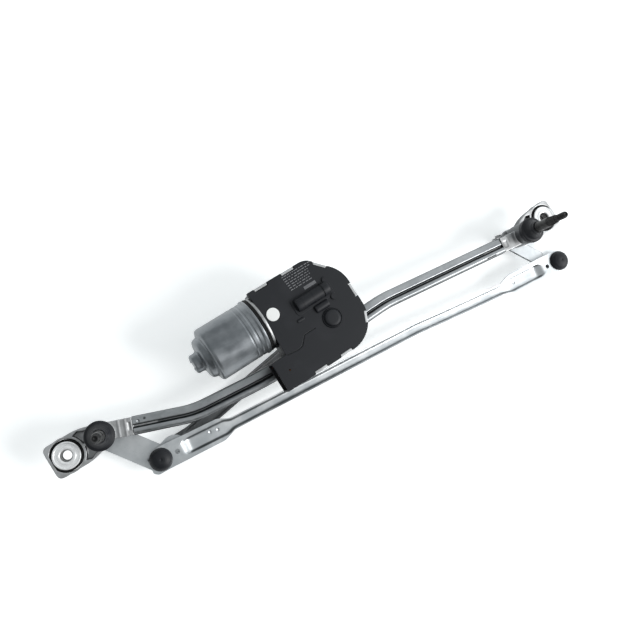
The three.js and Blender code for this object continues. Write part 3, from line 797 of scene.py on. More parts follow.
for side, centre in (("left", LEFT_BUSH), ("right", RIGHT_BUSH)):
    bush = lathe(f"{side}_bush_sleeve", bush_profile(), centre.xy, 96, 0.25)
    settle(bush, "frame", "turned_aluminium", f"{side}_bush")
    rubber_ring = lathe(f"{side}_grommet_ring", grommet_profile(), sides=96)
    carve(rubber_ring, block("flat", (EAR_END - 3.3 - EAR_REACH, 20), (-20, 20), (20, 60)))
    place(rubber_ring, *centre.xy, math.radians(HOUSINGS[side]["ear"]))
    smooth(rubber_ring)
    settle(rubber_ring, "frame", "rubber", f"{side}_grommet")
print("two bushes, bolt circle", round((RIGHT_BUSH - LEFT_BUSH).length, 1), "mm apart")

# %% [markdown]
# ## Wiper shafts
# A shaft's tip has a fine thread for the arm's nut and, below it, a splined cone that the arm bites on.
# The plain shaft is turned. The splines are one tooth repeated round the axis, and the thread is a small
# profile that follows a spiral, so Geometry Nodes make both.

# %% Trees for copies round an axis and for a thread
def around_tree():
    wire, given = geometry_tree("copies_around", ("Copy", "Object"), ("Count", "Int"), ("Centre", "Vector"))
    inputs = {"Count": given["Count"], "Position": given["Centre"]}
    points = wire.node("GeometryNodePoints", None, inputs)
    turn = wire.node("GeometryNodeInputIndex") * (2 * math.pi) / given["Count"]
    rotation = wire.node("ShaderNodeCombineXYZ", None, {"Z": turn})
    copy = wire.node("GeometryNodeObjectInfo", None, {"Object": given["Copy"]}, "Geometry")
    inputs = {"Points": points, "Instance": copy, "Rotation": rotation}
    copies = wire.node("GeometryNodeInstanceOnPoints", None, inputs)
    both = wire.node("GeometryNodeJoinGeometry", None, {"Geometry": given["Geometry"]})
    wire.tree.links.new(copies.socket, both.socket.node.inputs[0])
    return close_tree(wire, both, given)


def thread_tree():
    sockets = [("Radius", "Float"), ("Pitch", "Float"), ("Turns", "Float"), ("Start", "Vector")]
    wire, given = geometry_tree("thread", *sockets)
    inputs = {
        "Resolution": 40, "Rotations": given["Turns"], "Start Radius": given["Radius"],
        "End Radius": given["Radius"], "Height": given["Pitch"] * given["Turns"], "Reverse": False,
    }
    spiral = wire.node("GeometryNodeCurveSpiral", None, inputs)
    inputs = {"Resolution": 4, "Radius": given["Pitch"] * 0.42}
    ridge = wire.node("GeometryNodeCurvePrimitiveCircle", {"mode": "RADIUS"}, inputs)
    inputs = {"Curve": spiral, "Profile Curve": ridge, "Fill Caps": True}
    sweep = wire.node("GeometryNodeCurveToMesh", None, inputs)
    raised = wire.node("GeometryNodeTransform", None, {"Geometry": sweep, "Translation": given["Start"]})
    both = wire.node("GeometryNodeJoinGeometry", None, {"Geometry": given["Geometry"]})
    wire.tree.links.new(raised.socket, both.socket.node.inputs[0])
    return close_tree(wire, both, given)


AROUND, THREAD = around_tree(), thread_tree()


def repeat_around(piece, copy, count, slot, centre=(0, 0, 0)):
    spot = tuple(c * MM for c in centre)
    grow(piece, AROUND, slot, Copy=copy, Count=count, Centre=spot)
    bpy.data.objects.remove(copy)
    return smooth(piece)


print("trees:", AROUND.name, THREAD.name)

# %% Splined and threaded shafts
def spline_tooth(low, high, z0, z1):
    half = 0.34
    points = [
        (low - 0.5, -half, z0), (low + 0.3, 0, z0), (low - 0.5, half, z0),
        (high - 0.5, -half, z1), (high + 0.3, 0, z1), (high - 0.5, half, z1),
    ]
    faces = [(0, 1, 2), (3, 5, 4), (0, 3, 4, 1), (1, 4, 5, 2), (2, 5, 3, 0)]
    return make_object("tooth", points, faces)


for side, spec in HOUSINGS.items():
    profile = [
        (0, 0), (5.6, 0), (6, 0.4), (6, 84), (5.7, 84.4), (5.7, 85.6), (6, 86), (6, 104), (5.3, 105),
        (4.4, 118), (3.6, 118.6), (3.6, 134.6), (3, SHAFT_TIP - 0.2), (2, SHAFT_TIP), (1.6, SHAFT_TIP - 1.2), (0, SHAFT_TIP - 1.8),
    ]
    shaft = lathe(f"{side}_wiper_shaft", profile, sides=64, rounding=0.15)
    repeat_around(shaft, spline_tooth(5.3, 4.4, 105.2, 117.8), 40, "black_steel")
    grow(shaft, THREAD, "black_steel", Radius=3.55 * MM, Pitch=1.0 * MM, Turns=14.0, Start=(0, 0, 120 * MM))
    place(shaft, spec["x"])
    settle(smooth(shaft), f"{side}_wiper_shaft", "black_steel", f"{side}_pivot_shaft")
print("shafts", round(SHAFT_TIP), "mm tall, 40 splines each")

# %% [markdown]
# ## Dust caps
# A moulded cap turns with each shaft and throws rain off the bearing below. It is a thin skirted cone. Its
# small gripping ribs are one rib repeated round the skirt.

# %% Dust caps
for side, spec in HOUSINGS.items():
    profile = [
        (6.3, 65.4), (14.3, 65.4), (14.3, 60), (15.2, 60), (15.2, 64.6), (15.5, 65), (15.5, 66.6),
        (14.6, 67.3), (12.6, 67.9), (10.6, 70.2), (9, 73), (8.2, 76.4), (7.6, 77), (7.6, 79), (7.0, 80),
        (6.3, 80), (6.3, 65.4),
    ]
    cap = lathe(f"{side}_cap", profile, sides=96, rounding=0.4)
    repeat_around(cap, block("rib", (14.9, 15.42), (-0.45, 0.45), (60.4, 64.8)), 36, "black_plastic")
    place(cap, spec["x"])
    settle(cap, f"{side}_wiper_shaft", "black_plastic", f"{side}_dust_cap")
print("dust caps on")

# %% [markdown]
# ## Levers, hubs and ball studs
# Each shaft carries a thick stamped lever. Stamping leaves a rounded edge on one face only, and the hub
# is staked into the lever, which leaves a ring of small dents round the shaft.

# %% Stamped levers
LEVER_Z = (12.5, 16.5)


def hull(circles, z0, z1, bevel):
    """The plate that wraps round a row of circles."""
    points = [point for x, y, r in circles for point in circle(r, x, y, 96)]
    return plate("lever", convex_outline(points), z0, z1, bevel)


def convex_outline(points):
    points = sorted(set((round(x, 5), round(y, 5)) for x, y in points))

    def half(row):
        chain = []
        for p in row:
            while len(chain) > 1:
                (ax, ay), (bx, by) = chain[-2], chain[-1]
                if (bx - ax) * (p[1] - ay) - (by - ay) * (p[0] - ax) > 0:
                    break
                chain.pop()
            chain.append(p)
        return chain[:-1]

    return half(points) + half(points[::-1])


def lever(side, spec):
    a, b = BALL_A.xy, BALL_B.xy
    arm = hull([(0, 0, 14), (a.x, a.y, 14.6)], *LEVER_Z, 0)
    if side == "left":
        union(arm, hull([(a.x, a.y, 12), (b.x, b.y, 14.8)], *LEVER_Z, 0))
    bean = hull([(a.x * 0.36, a.y * 0.36, 3.6), (a.x * 0.66, a.y * 0.66, 3.6)], LEVER_Z[1] - 0.5, 30, 0)
    carve(arm, drill(6.3, 0, 40), drill(4.3, 0, 40, a.x, a.y), bean)
    if side == "left":
        carve(arm, drill(4.3, 0, 40, b.x, b.y))
    soft_edges(arm, 0.45)
    stake = block("stake", (8, 8.8), (-0.5, 0.5), (LEVER_Z[1] - 0.2, LEVER_Z[1] + 0.25), 0)
    repeat_around(arm, stake, 16, "zinc_steel")
    place(arm, spec["x"])
    arm.name = f"{side}_stamped_lever"
    return settle(arm, f"{side}_wiper_shaft", "zinc_steel", f"{side}_lever")


def ball_arc(radius, height, first, last, steps=16):
    turns = [math.radians(first + (last - first) * k / steps) for k in range(steps + 1)]
    return [(radius * math.cos(a), height + radius * math.sin(a)) for a in turns]


UPPER_STUD = [
    (0, 11.2), (5.4, 11.2), (5.4, 12.2), (4, 12.3), (4, 16.8), (6, 16.8), (6, 18.2), (4, 18.8),
    *ball_arc(6.5, 25, -54, 88), (0, 31.5),
]
DRIVE_STUD = [(0, 0.8), *ball_arc(5.2, 6, -88, 48), (3.5, 10.6), (3.5, 12.1), (4, 12.2), (4, 16.8), (5.4, 16.8), (5.1, 17.6), (0, 17.8)]

for side, spec in HOUSINGS.items():
    lever(side, spec)
    spot = (spec["x"] + BALL_A.x, BALL_A.y)
    stud = lathe(f"{side}_ball_pin", UPPER_STUD, spot, 48, 0.2)
    settle(stud, f"{side}_wiper_shaft", "zinc_steel", f"{side}_ball_stud")
    hub = lathe(f"{side}_hub", [(6.3, 0), (10.4, 0), (11, 0.6), (11, 12.2), (6.3, 12.2), (6.3, 0)], (spec["x"], 0), 64, 0.3)
    settle(hub, f"{side}_wiper_shaft", "zinc_steel", f"{side}_drive_hub")
    clip = lathe(f"{side}_snap_ring", [(6.3, 16.8), (9.6, 16.8), (9.6, 18.2), (6.3, 18.2), (6.3, 16.8)], (spec["x"], 0), 48, 0.3)
    settle(clip, f"{side}_wiper_shaft", "dark_steel", f"{side}_retaining_ring")
settle(lathe("drive_ball_pin", DRIVE_STUD, BALL_B.xy, 48, 0.2), "left_wiper_shaft", "zinc_steel", "drive_ball_stud")
print("levers and ball pins done")

# %% [markdown]
# ## The two rods
# Both rods are pressed from sheet: a narrow channel along most of the length, widening to flat eyes at the
# ends. A row of stations gives the half widths and the depth of the trough. The skin is laid through
# them, its corners are averaged as the press would leave them, and Solidify adds the sheet.

# %% Press a rod from its stations
ROD_SHEET = 2.0


def at_station(stations, x):
    before = max((s for s in stations if s[0] <= x), default=stations[0])
    after = min((s for s in stations if s[0] > x), default=stations[-1])
    t = 0 if after[0] == before[0] else min(1, max(0, (x - before[0]) / (after[0] - before[0])))
    return [p + (q - p) * t for p, q in zip(before, after)]


def averaged(stations, x, reach):
    samples = [at_station(stations, x + reach * k / 3) for k in range(-3, 4)]
    return [sum(column) / len(samples) for column in zip(*samples)]


def pressed_rod(name, stations, top, step=2.0, reach=2.5):
    """A station is (x, low edge, high edge, half trough, depth, sideways)."""
    first, last = stations[0][0], stations[-1][0]
    count = round((last - first) / step)
    rows = []
    for k in range(count + 1):
        x = first + (last - first) * k / count
        fade = min(1, (x - first) / reach, (last - x) / reach)
        _, low, high, half, depth, side = averaged(stations, x, reach * max(fade, 0.01))
        wall = 3.2
        across = [low, low + 0.8]
        across += [-half - wall * (1 - i / 6) for i in range(7)]
        across += [-half / 2, 0, half / 2]
        across += [half + wall * i / 6 for i in range(7)]
        across += [high - 0.8, high]
        row = []
        for n in across:
            t = min(1, max(0, (half + wall - abs(n)) / wall))
            row.append((x, side + n, top - depth * t * t * (3 - 2 * t)))
        rows.append(row)
    width = len(rows[0])
    faces = [
        (r * width + c, (r + 1) * width + c, (r + 1) * width + c + 1, r * width + c + 1)
        for r in range(count) for c in range(width - 1)
    ]
    rod = make_object(name, [p for row in rows for p in row], faces)
    if rod.data.polygons[0].normal.z < 0:
        rod.data.flip_normals()
    wall = rod.modifiers.new("wall", "SOLIDIFY")
    wall.thickness = ROD_SHEET * MM
    wall.offset = -1
    bake(rod)
    return rod


def finish_rod(rod, x, y, turn, body, slot, node):
    soft_edges(rod, 0.35, 2, 50)
    place(rod, x, y, turn)
    return settle(rod, body, slot, node)


LONG_STATIONS = [
    (-13, -10, 4, 3, 0, 0), (-9, -14.4, 9.6, 3, 0, 0), (-3, -13.8, 13, 3, 0, 0), (8, -13.4, 13.8, 3, 0, 0),
    (25, -13.4, 13.6, 3, 0, 0), (28, -13.4, 13.4, 6, 0.3, 0), (33, -13.2, 13.2, 6, 5, 0),
    (72, -13, 13, 6, 5, 0), (78, -10.5, 10.5, 6, 5, 0), (86, -7, 7, 3, 5, 0), (338, -7, 7, 3, 5, 3.6),
    (380, -7, 7, 3, 5, 1.8), (466, -7, 7, 3, 5, -0.6), (480, -12.5, 12.5, 6, 5, -0.6),
    (486, -14, 14, 6, 5, -0.4), (526, -14.4, 14.4, 6, 5, 0), (531, -14.4, 14.4, 6, 0.3, 0),
    (536, -14.6, 14.4, 3, 0, 0), (562, -14.2, 14.2, 3, 0, 0), (568, -12, 12, 3, 0, 0), (573, -6, 6, 3, 0, 0),
]
LONG_TOP, SHORT_TOP = 26, 7
long_rod = pressed_rod("coupling_rod", LONG_STATIONS, LONG_TOP)
carve(
    long_rod,
    drill(10, 10, 40), drill(10, 10, 40, SPAN),
    drill(2.7, 10, 40, 19.2, 0, 32), drill(2.7, 10, 40, SPAN - 19.2, 0, 32),
    dimple(2, 60, 2.4, LONG_TOP - 5), dimple(2, 69, 1, LONG_TOP - 5), dimple(2, SPAN - 72, 0, LONG_TOP - 5),
)
finish_rod(long_rod, BALL_A.x, BALL_A.y, 0, "long_rod_assembly", "zinc_steel", "long_rod")
print("coupling rod:", len(long_rod.data.polygons), "faces")

# %% The motor's own rod
short_length = (BALL_C - BALL_B).xy.length
half_rod = [
    (-12.5, -5, 5, 3, 0, 0), (-9, -10, 10, 3, 0, 0), (-3, -12.4, 12.4, 3, 0, 0), (4, -12.4, 12.4, 3, 0, 0),
    (14, -10.5, 10.5, 3, 0, 0), (24, -9, 9, 4, 3.4, 0), (40, -8.5, 8.5, 4, 3.4, 0),
]
other_half = [(short_length - s[0], *s[1:]) for s in reversed(half_rod)]
short_rod = pressed_rod("motor_rod", half_rod + other_half, SHORT_TOP)
carve(short_rod, drill(8, 0, 20), drill(8, 0, 20, short_length))
finish_rod(short_rod, BALL_B.x, BALL_B.y, CRANK_ANGLE, "short_rod_assembly", "dark_steel", "short_rod")
print("motor rod:", round(short_length, 1), "mm between balls")

# %% [markdown]
# ## Ball sockets
# A moulded socket snaps over each steel ball. Its cap is a low dome with a dimple where the mould was fed,
# and a step where it grips the rod. Ribs under the rim, one repeated round the axis, stop it turning.

# %% Sockets
UPPER_SOCKET = [
    (0, 33.5), (0.9, 33.5), (1.5, 34.1), (4.2, 33.95), (6, 33.5), (9, 32.3), (11, 30.6), (12.3, 28.6),
    (12.7, 27.2), (12.7, 26.3), (9.7, 26.3), (9.7, 19.2), (5.4, 19.2), (4.6, 20),
    *ball_arc(6.8, 25, -47, 88), (0, 31.8),
]
LOWER_SOCKET = [
    (0, 0), (8.6, 0), (9.5, 0.9), (9.5, 4.7), (7.7, 4.7), (7.7, 10.4), (4.6, 10.4), (4, 9.8),
    *ball_arc(5.5, 6, 43, -86), (0, 0.55),
]
rod_line = Vector((math.cos(CRANK_ANGLE), math.sin(CRANK_ANGLE)))
for name, spot in (("left", BALL_A.xy), ("right", BALL_A.xy + Vector((SPAN, 0)))):
    socket = lathe(f"upper_socket_{name}", UPPER_SOCKET, spot, 96, 0.3)
    settle(socket, "long_rod_assembly", "black_plastic", f"long_rod_{name}_socket")
for name, reach in (("lever", 0), ("crank", short_length)):
    spot = BALL_B.xy + rod_line * reach
    socket = lathe(f"lower_socket_{name}", LOWER_SOCKET, (0, 0), 64, 0.3)
    repeat_around(socket, block("rib", (7.4, 8.4), (-0.6, 0.6), (7.1, 9.8)), 8, "black_plastic")
    place(socket, *spot)
    settle(socket, "short_rod_assembly", "black_plastic", f"short_rod_{name}_socket")
print("four sockets")

# %% [markdown]
# ## Crank
# The motor's output shaft carries a short crank, held by a nut. It swings under the rail and pulls the
# motor rod by a ball that hangs below it.

# %% Crank, nut and ball
CRANK_Z = (23, 28)
crank = hull([(0, 0, 13), (50, 0, 10.5)], *CRANK_Z, 0)
carve(crank, drill(5.3, 0, 40), drill(4.3, 0, 40, 50))
soft_edges(crank, 0.6)
place(crank, OUTPUT.x, OUTPUT.y, CRANK_ANGLE)
crank.name = "output_crank"
settle(crank, "crank_assembly", "zinc_steel", "crank_arm")
nut = plate("nut", circle(7.5, sides=6), 16.4, 22.7)
carve(nut, drill(5.3, 0, 40))
soft_edges(nut, 0.5)
place(nut, OUTPUT.x, OUTPUT.y, CRANK_ANGLE)
nut.name = "crank_lock_nut"
settle(nut, "crank_assembly", "zinc_steel", "crank_nut")
pin_profile = [
    (0, 11.4), *ball_arc(5.2, 16.6, -88, 48), (4, 21), (5.4, 21.2), (5.4, 22.7), (4, 22.7), (4, 28.3),
    (5, 28.3), (4.4, 29.6), (0, 29.6),
]
settle(lathe("crank_ball_pin", pin_profile, BALL_C.xy, 48, 0.2), "crank_assembly", "zinc_steel", "crank_ball_stud")
tip_profile = [(0, 14.5), (4, 14.5), (4.7, 15.2), (4.7, 29.5), (5, 30), (5, 72.5), (0, 72.5)]
tip = lathe("output_shaft_turned", tip_profile, (0, 0), 48, 0.15)
grow(tip, THREAD, "zinc_steel", Radius=4.62 * MM, Pitch=0.8 * MM, Turns=16.0, Start=(0, 0, 15.6 * MM))
place(tip, OUTPUT.x, OUTPUT.y)
settle(smooth(tip), "crank_assembly", "zinc_steel", "output_shaft")
print("crank turned", round(math.degrees(CRANK_ANGLE), 1), "degrees from the rail")

# %% [markdown]
# ## The motor can
# The can is deep-drawn steel: a rolled flange, a straight body, a rounded shoulder, a stepped end and a
# small cup for the rear bearing. Everything is round about the armature, so the profile is spun upright
# and then laid along the motor.

# %% Lay a turned part along the motor
ALONG = Matrix(((0, 0, 1, 0), (1, 0, 0, ARMATURE_V * MM), (0, 1, 0, ARMATURE_Z * MM), (0, 0, 0, 1)))


def lay_along_motor(piece):
    piece.data.transform(ALONG)
    return on_motor(piece)


CAN_PROFILE = [
    (0, -153.6), (6.4, -153.6), (6.9, -153.0), (9.2, -153.0), (10.8, -151.4), (10.8, -146.5), (11.8, -144.2),
    (14, -143.4), (20, -142.4), (22.2, -141.2), (23.2, -139), (23.8, -136), (25, -135), (28.6, -134),
    (30.4, -132.8), (31, -130.6), (31, -90.5), (30.7, -90), (30.7, -88.6), (31, -88.1), (31, -84.6),
    (30.6, -84), (30.6, -82.4), (31, -81.8), (31, -78), (31.4, -77), (32.4, -76.4), (32.4, -73.6), (29.2, -73.6),
    (29.2, -130), (28, -132), (21.6, -133.4), (21, -138.4), (19, -140.6), (8.6, -142), (8.6, -151.6), (0, -151.6),
]
can = lathe("drawn_can", CAN_PROFILE, sides=160, rounding=0.7)
carve(can, block("slot", (-3.2, 3.2), (-12, 12), (-160, -152.3)))
lay_along_motor(smooth(can, 30))
settle(can, "frame", "can_steel", "motor_can")
seal_profile = [(28.4, -73.2), (31.4, -73.2), (32, -72.6), (31.4, -71.8), (32, -71), (31.4, -70.4), (28.4, -70.4), (28.4, -73.2)]
seal = lathe("can_seal", seal_profile, sides=128, rounding=0.3)
settle(lay_along_motor(seal), "frame", "rubber", "motor_seal")
print("can:", len(can.data.polygons), "faces")

# %% [markdown]
# ## Gear housing
# Under the cover is a second die casting. It holds the worm wheel, carries the output shaft in a long boss
# and bolts to the rail's bracket. It is made like the bearing housings: joined forms, then one cast skin.

# %% The outline shared by housing, seal and cover
EDGE_LEFT, EDGE_TOP, EDGE_RIGHT, EDGE_BOTTOM, CORNER = -66, 71, 39.5, -42, 38


def curve_to(start, control, end, steps=10):
    a, b, c = Vector(start), Vector(control), Vector(end)
    return [tuple(a * (1 - t) ** 2 + b * 2 * t * (1 - t) + c * t * t) for t in (k / steps for k in range(1, steps + 1))]


def casing(inset):
    left, top, right, bottom = EDGE_LEFT + inset, EDGE_TOP - inset, EDGE_RIGHT - inset, EDGE_BOTTOM + inset
    centre = (EDGE_RIGHT - CORNER, EDGE_BOTTOM + CORNER)
    shoulder = (27.5 - inset * 0.7, 51 - inset * 0.7)
    slope = (14.5 - inset * 0.6, 64.5 - inset * 0.8)
    outline = [(left, bottom), *arc(*centre, CORNER - inset, -90, 0, 24), (right, 24)]
    outline += curve_to((right, 24), (right, 40), shoulder)
    outline += [slope, *curve_to(slope, (9, top), (0, top)), (left, top)]
    return outline


SCREW_SPOTS = [(-40, 18), (27, 33), (2, -36.5)]
BASE_Z = (52.6, 73.4)


def boss_rib(turn):
    rib = block("rib", (7, 36), (-1.1, 1.1), (46.5, 53.5))
    return place(rib, turn=math.radians(turn))


shell = plate("gear_case", casing(1.2), *BASE_Z)
flange = lathe("flange", [(0, -70), (31.4, -70), (31.4, -66.4), (0, -66.4)], sides=96)
flange.data.transform(ALONG)
neck = block("neck", (-68, -64), (8, 65), BASE_Z)
boss = lathe("boss", [(0, 29.2), (7.6, 29.2), (8.4, 30.4), (8.4, 44), (10.5, 52), (12, 60), (0, 60)], sides=64)
rim = [block("rim", (-60, -57), (-38, 60), (50.8, 53)), block("rim", (-57, 20), (57, 60), (50.8, 53))]
union(shell, flange, neck, boss, *rim)
worm_room = block("worm_room", (-62, 17), (ARMATURE_V - 8, ARMATURE_V + 8), (55.6, 80))
shaft_room = lathe("shaft_room", [(0, -72), (6, -72), (6, -50), (0, -50)], sides=48)
shaft_room.data.transform(ALONG)
side_room = block("side_room", (-61, -38), (-36, 24), (60, 80))
carve(shell, drill(33.2, 56.6, 80, sides=96), worm_room, shaft_room, side_room, drill(6.9, 20, 60))
carve(shell, *[drill(2.9, 40, 64, u, v, 32) for u, v in SCREW_SPOTS])
cast(shell, 0.85, 2)
on_motor(shell)
settle(shell, "frame", "cast_aluminium", "gear_housing")
print("gear case:", len(shell.data.polygons), "faces")

# %% [markdown]
# ## Motor bracket and screws
# A stamped bracket under the gear case ties the motor to the rail. Three flange screws hold it. One screw
# is modelled, and a tree sets a copy on each of the three spots.

# %% A tree for copies on marked spots
def spots_tree():
    wire, given = geometry_tree("copies_on_spots", ("Copy", "Object"))
    points = wire.node("GeometryNodeMeshToPoints", None, {"Mesh": given["Geometry"]})
    turn = wire.node("GeometryNodeInputNamedAttribute", {"data_type": "FLOAT"}, {"Name": "turn"})
    length = wire.node("GeometryNodeInputNamedAttribute", {"data_type": "FLOAT"}, {"Name": "stretch"})
    rotation = wire.node("ShaderNodeCombineXYZ", None, {"Z": turn})
    size = wire.node("ShaderNodeCombineXYZ", None, {"X": length, "Y": 1.0, "Z": 1.0})
    copy = wire.node("GeometryNodeObjectInfo", None, {"Object": given["Copy"]}, "Geometry")
    inputs = {"Points": points, "Instance": copy, "Rotation": rotation, "Scale": size}
    return close_tree(wire, wire.node("GeometryNodeInstanceOnPoints", None, inputs), given)


SPOTS = spots_tree()


def on_spots(name, copy, spots, slot):
    """Each spot is (x, y, z, turn in degrees, stretch)."""
    turns = [math.radians(s[3]) for s in spots]
    piece = polyline(name, [s[:3] for s in spots], turn=turns, stretch=[s[4] for s in spots])
    grow(piece, SPOTS, slot, Copy=copy)
    bpy.data.objects.remove(copy)
    return smooth(piece)


def flange_screw():
    head = plate("head", circle(4.3, sides=6), 44.6, 48.2)
    soft_edges(head, 0.5)
    washer = lathe("washer", [(0, 48), (4.6, 48), (5, 48.4), (5, 49.1), (0, 49.1)], sides=48, rounding=0.2)
    shank = lathe("shank", [(0, 48.6), (2.5, 48.6), (2.5, 62.6), (2.1, 63), (0, 63)], sides=32, rounding=0.2)
    return union(head, washer, shank)


screws = on_spots("bracket_screws", flange_screw(), [(u, v, 0, 20, 1) for u, v in SCREW_SPOTS], "zinc_steel")
settle(on_motor(screws), "frame", "zinc_steel", *[f"bracket_screw_{k}" for k in (1, 2, 3)])
BRACKET = [(-56, -37), (30, -41), (38, -20), (37, 40), (20, 43), (4, 28), (-28, 28), (-50, 26)]
bracket = plate("stamped_bracket", rounded(BRACKET, 5), 49.4, 52.2)
carve(bracket, drill(12.6, 40, 60), *[drill(3, 40, 60, u, v, 32) for u, v in SCREW_SPOTS])
soft_edges(bracket, 0.5)
settle(on_motor(bracket), "frame", "galvanised_steel", "motor_bracket")
print("bracket and", len(SCREW_SPOTS), "screws")

# %% [markdown]
# ## Electronics cover
# The black cover is the face of the motor: a thin moulded lid with a long bulge over a capacitor, a small
# bulge beside it, a round dome over the output shaft, a vent, a step down to the plug, and an open
# connector shroud. Snap lugs of the casting show in notches round its rim.

# %% Lid and bulges
PLUG_U, PLUG_V, PLUG_Z = (-84.5, -65.2), (-41.5, -6.5), (60, 84)
CAPACITOR = (-7, 31.5)


def lying_bulge(name, u, v, z, length, radius, rounding):
    half = length / 2
    bulge = lathe(name, [(0, -half), (radius, -half), (radius, half), (0, half)], sides=64, rounding=rounding)
    turn = Matrix.Translation(Vector((u, v, z)) * MM) @ Matrix.Rotation(math.pi / 2, 4, "Y")
    bulge.data.transform(turn)
    return bulge


def lug_notch(spot, grow_by=0.5):
    u, v, z, turn, length = spot
    notch = block("notch", (-length / 2 - grow_by, length / 2 + grow_by), (-3.4, 6), (70, 90))
    return place(notch, u, v, math.radians(turn))


# Outer middle of each snap lug on the rim: along the motor, across it, height, edge direction, length.
LUGS = [
    (-50, 70.9, 0, 0, 16), (-15.5, 70.9, 0, 0, 16), (20.9, 57.8, 0, -46, 15), (39.4, 14, 0, -90, 15),
    (35.6, -19.6, 0, -114, 13), (-7, -41.9, 0, 180, 15), (-41, -41.9, 0, 180, 16),
]
lid = plate("control_cover", casing(0), COVER_BASE, COVER_TOP)
carve(lid, plate("hollow", casing(2.2), COVER_BASE - 1, COVER_TOP - 2.2))
step = [(-70, -7.4), (-52, -9.8), (-45.2, -8.7), (-36.6, 0.3), (-22.6, 0.3), (-22.6, 1.3), (-37, 1.3), (-45.8, -7.6), (-52, -8.6), (-70, -6.2)]
carve(lid, plate("step", step, COVER_TOP - 0.9, COVER_TOP + 4))
carve(lid, *[lug_notch(spot) for spot in LUGS])
soft_edges(lid, 0.7, 2, 50)
print("lid:", len(lid.data.polygons), "faces,", len(LUGS), "lug notches")

# %% Bulges, dome and vent seat
frame_pad = plate("bulge_frame", rounded([(-32, 20.6), (18, 20.6), (18, 40.4), (-32, 40.4)], 4), 82, COVER_TOP + 0.7)
soft_edges(frame_pad, 0.5)
ear_one = plate("bulge_ear", circle(3.4, 15.5, 39.6, 32), 82, COVER_TOP + 1.8)
ear_two = plate("bulge_ear", circle(3.4, 14.5, 19.2, 32), 82, COVER_TOP + 1.8)
big = lying_bulge("big_bulge", *CAPACITOR, COVER_TOP - 0.6, 44, 7.9, 3)
small = lying_bulge("small_bulge", -3, 17, COVER_TOP - 1.5, 18, 5, 2)
ribs = [lying_bulge("bulge_rib", u, CAPACITOR[1], COVER_TOP - 0.6, 1, 8.1, 0) for u in (-20, -7, 6)]
dome_profile = [
    (0, 80), (11.4, 80), (11.4, 84.6), (10.7, 85.4), (10.3, 84.7), (9.9, 84.7), (9.3, 86), (8.4, 87.1),
    (6, 87.5), (0, 87.6),
]
dome = lathe("dome", dome_profile, sides=96, rounding=0.5)
oval = lying_bulge("oval", -31.5, 16.4, COVER_TOP - 1.2, 9, 2.4, 1)
union(lid, frame_pad, ear_one, ear_two, big, small, *ribs, dome, oval)
carve(lid, lying_bulge("room", *CAPACITOR, COVER_TOP - 1, 40, 6.6, 2), drill(8, COVER_TOP - 0.8, 90, -54.5, 37.4))
print("cover with bulges:", len(lid.data.polygons), "faces")

# %% Connector shroud
shroud = block("shroud", PLUG_U, PLUG_V, PLUG_Z)
carve(shroud, block("mouth", (PLUG_U[0] - 1, PLUG_U[1] - 2), (PLUG_V[0] + 2, PLUG_V[1] - 2), (PLUG_Z[0] + 2, PLUG_Z[1] - 2)))
soft_edges(shroud, 0.5, 2, 50)
nub = lathe("nub", [(0, 80), (1.3, 80), (1.3, 84), (0, 84)], (-71, -22.5), 24, 0.2)
carve(shroud, nub)
union(lid, shroud)
smooth(lid, 32)
lid.name = "control_cover"
on_motor(lid)
settle(lid, "frame", "black_plastic", "electronics_cover")
print("whole cover:", len(lid.data.polygons), "faces")

# %% [markdown]
# ### What sits on and round the cover
# Bright snap lugs of the casting stand in the notches, and a white membrane closes the vent. The printed
# label is only a block of short plain dashes, drawn from a fixed seed.

# %% Snap lugs, membrane and seal
lug = block("lug", (-0.5, 0.5), (-2.9, -0.1), (73, 83.2), 0.0)
lugs = on_spots("snap_lugs", lug, [(u, v, z, t, length - 0.4) for u, v, z, t, length in LUGS], "cast_aluminium")
soft_edges(lugs, 0.35)
settle(on_motor(lugs), "frame", "cast_aluminium")
membrane = lathe("vent_disc", [(0, 83.5), (7.3, 83.5), (7.3, 83.9), (6.9, 84.1), (0, 84.1)], (-54.5, 37.4), 64, 0.1)
settle(on_motor(membrane), "frame", "white_film", "vent_membrane")
gasket = plate("cover_gasket", casing(1.4), 73.7, 74.3)
carve(gasket, plate("inner", casing(4), 73, 76))
settle(on_motor(smooth(gasket)), "frame", "rubber", "cover_seal")
print("lugs:", len(lugs.data.polygons), "faces")

# %% Generic label
import random

draw = random.Random(7)
dashes = []
for row in range(7):
    v = 66 - row * 2.8
    u = -25 + row * 0.3
    while u < 9 - row * 1.2:
        length = draw.uniform(1.2, 4.2)
        dashes.append((u + length / 2, v, COVER_TOP + 0.02, 0, length))
        u += length + draw.uniform(0.7, 1.8)
for k in range(14):
    dashes.append((-9 + k * 1.1, 43.6, COVER_TOP + 0.02, 90, 3.6))
dash = block("dash", (-0.5, 0.5), (-0.42, 0.42), (-0.01, 0.03))
label = on_spots("label_dashes", dash, dashes, "label_ink")
settle(on_motor(label), "frame", "label_ink")
print(len(dashes), "dashes on the label")

# %% [markdown]
# ## Small parts left
# A spring clip locks the right spigot in the rail. The parts inside the motor keep the model's own meshes,
# with their finishes from above.

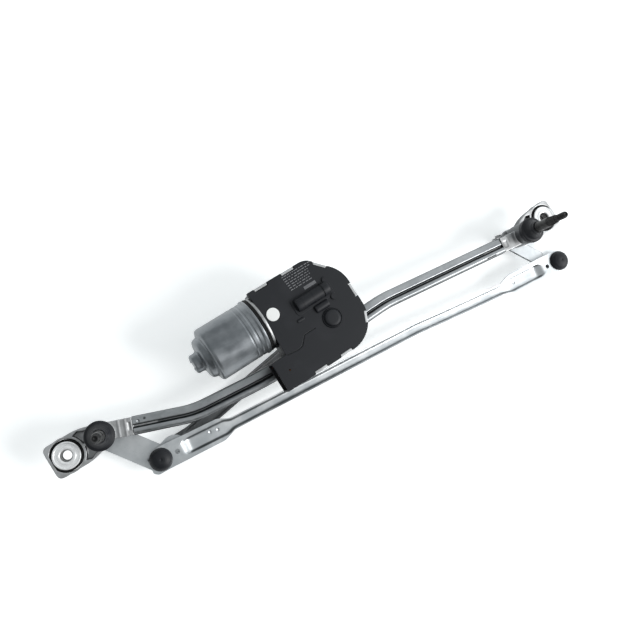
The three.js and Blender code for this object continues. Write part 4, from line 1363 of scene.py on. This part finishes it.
# %% Rail clip
clip = block("spring_clip", (SPAN - 39, SPAN - 21), (8.9, 10.4), (36, 47), 0.4)
hooks = [block("hook", (u, u + 4), (9, 12.6), (44.4, 47), 0.5) for u in (SPAN - 38.6, SPAN - 25.4)]
clip = join("spring_clip", [clip, *hooks, block("tongue", (SPAN - 33, SPAN - 27), (9, 12.2), (37, 41), 0.6)])
settle(clip, "frame", "dark_steel", "rail_clip")
print("clip on")

# %% [markdown]
# ## Floor and light
# A plain white floor, as on a photographer's table. The surround is dim overhead and grows bright towards
# the right, so that flat plated steel shades from mid grey on the left to white on the right. One large
# soft light on that side gives round edges their bright lines and everything a faint shadow.

# %% Stage
def area_light(name, place_at, aim, size, power, colour=(1, 1, 1)):
    data = bpy.data.lights.new(name, "AREA")
    data.shape = "DISK"
    data.size = size
    data.energy = power
    data.color = colour
    lamp = bpy.data.objects.new(name, data)
    bpy.context.scene.collection.objects.link(lamp)
    lamp.location = place_at
    direction = Vector(aim) - Vector(place_at)
    lamp.rotation_euler = direction.to_track_quat("-Z", "Y").to_euler()
    return lamp


floor = make_object("table", [(-4000, -4000, 0), (4000, -4000, 0), (4000, 4000, 0), (-4000, 4000, 0)], [(0, 1, 2, 3)])
if floor.data.polygons[0].normal.z < 0:
    floor.data.flip_normals()
table_top = bpy.data.materials.new("table_top")
table_top.use_nodes = True
table_shader = table_top.node_tree.nodes["Principled BSDF"]
table_shader.inputs["Base Color"].default_value = (0.95, 0.95, 0.95, 1)
table_shader.inputs["Roughness"].default_value = 0.9
table_shader.inputs["Emission Color"].default_value = (0.97, 1.0, 1.0, 1)
table_shader.inputs["Emission Strength"].default_value = 0.42
floor.data.materials.append(table_top)
world = bpy.data.worlds.new("studio")
bpy.context.scene.world = world
world.use_nodes = True
background = world.node_tree.nodes["Background"]
background.inputs["Color"].default_value = (0.93, 0.98, 1.0, 1)
sky = Wire(world.node_tree)
split = sky.node("ShaderNodeSeparateXYZ", None, {"Vector": sky.node("ShaderNodeTexCoord")})
x, y, z = (Wire(sky.tree, socket) for socket in split.socket.node.outputs)
strength = 0.10 + y.within(-0.50, -0.02) * 0.40 + x.within(0.05, 0.62) * 0.66
world.node_tree.links.new(strength.socket, background.inputs["Strength"])
area_light("key", (1.56, -1.08, 1.46), (0.27, 0, 0.05), 1.2, 34)
bpy.context.scene.view_settings.view_transform = "Standard"
print("lights on")
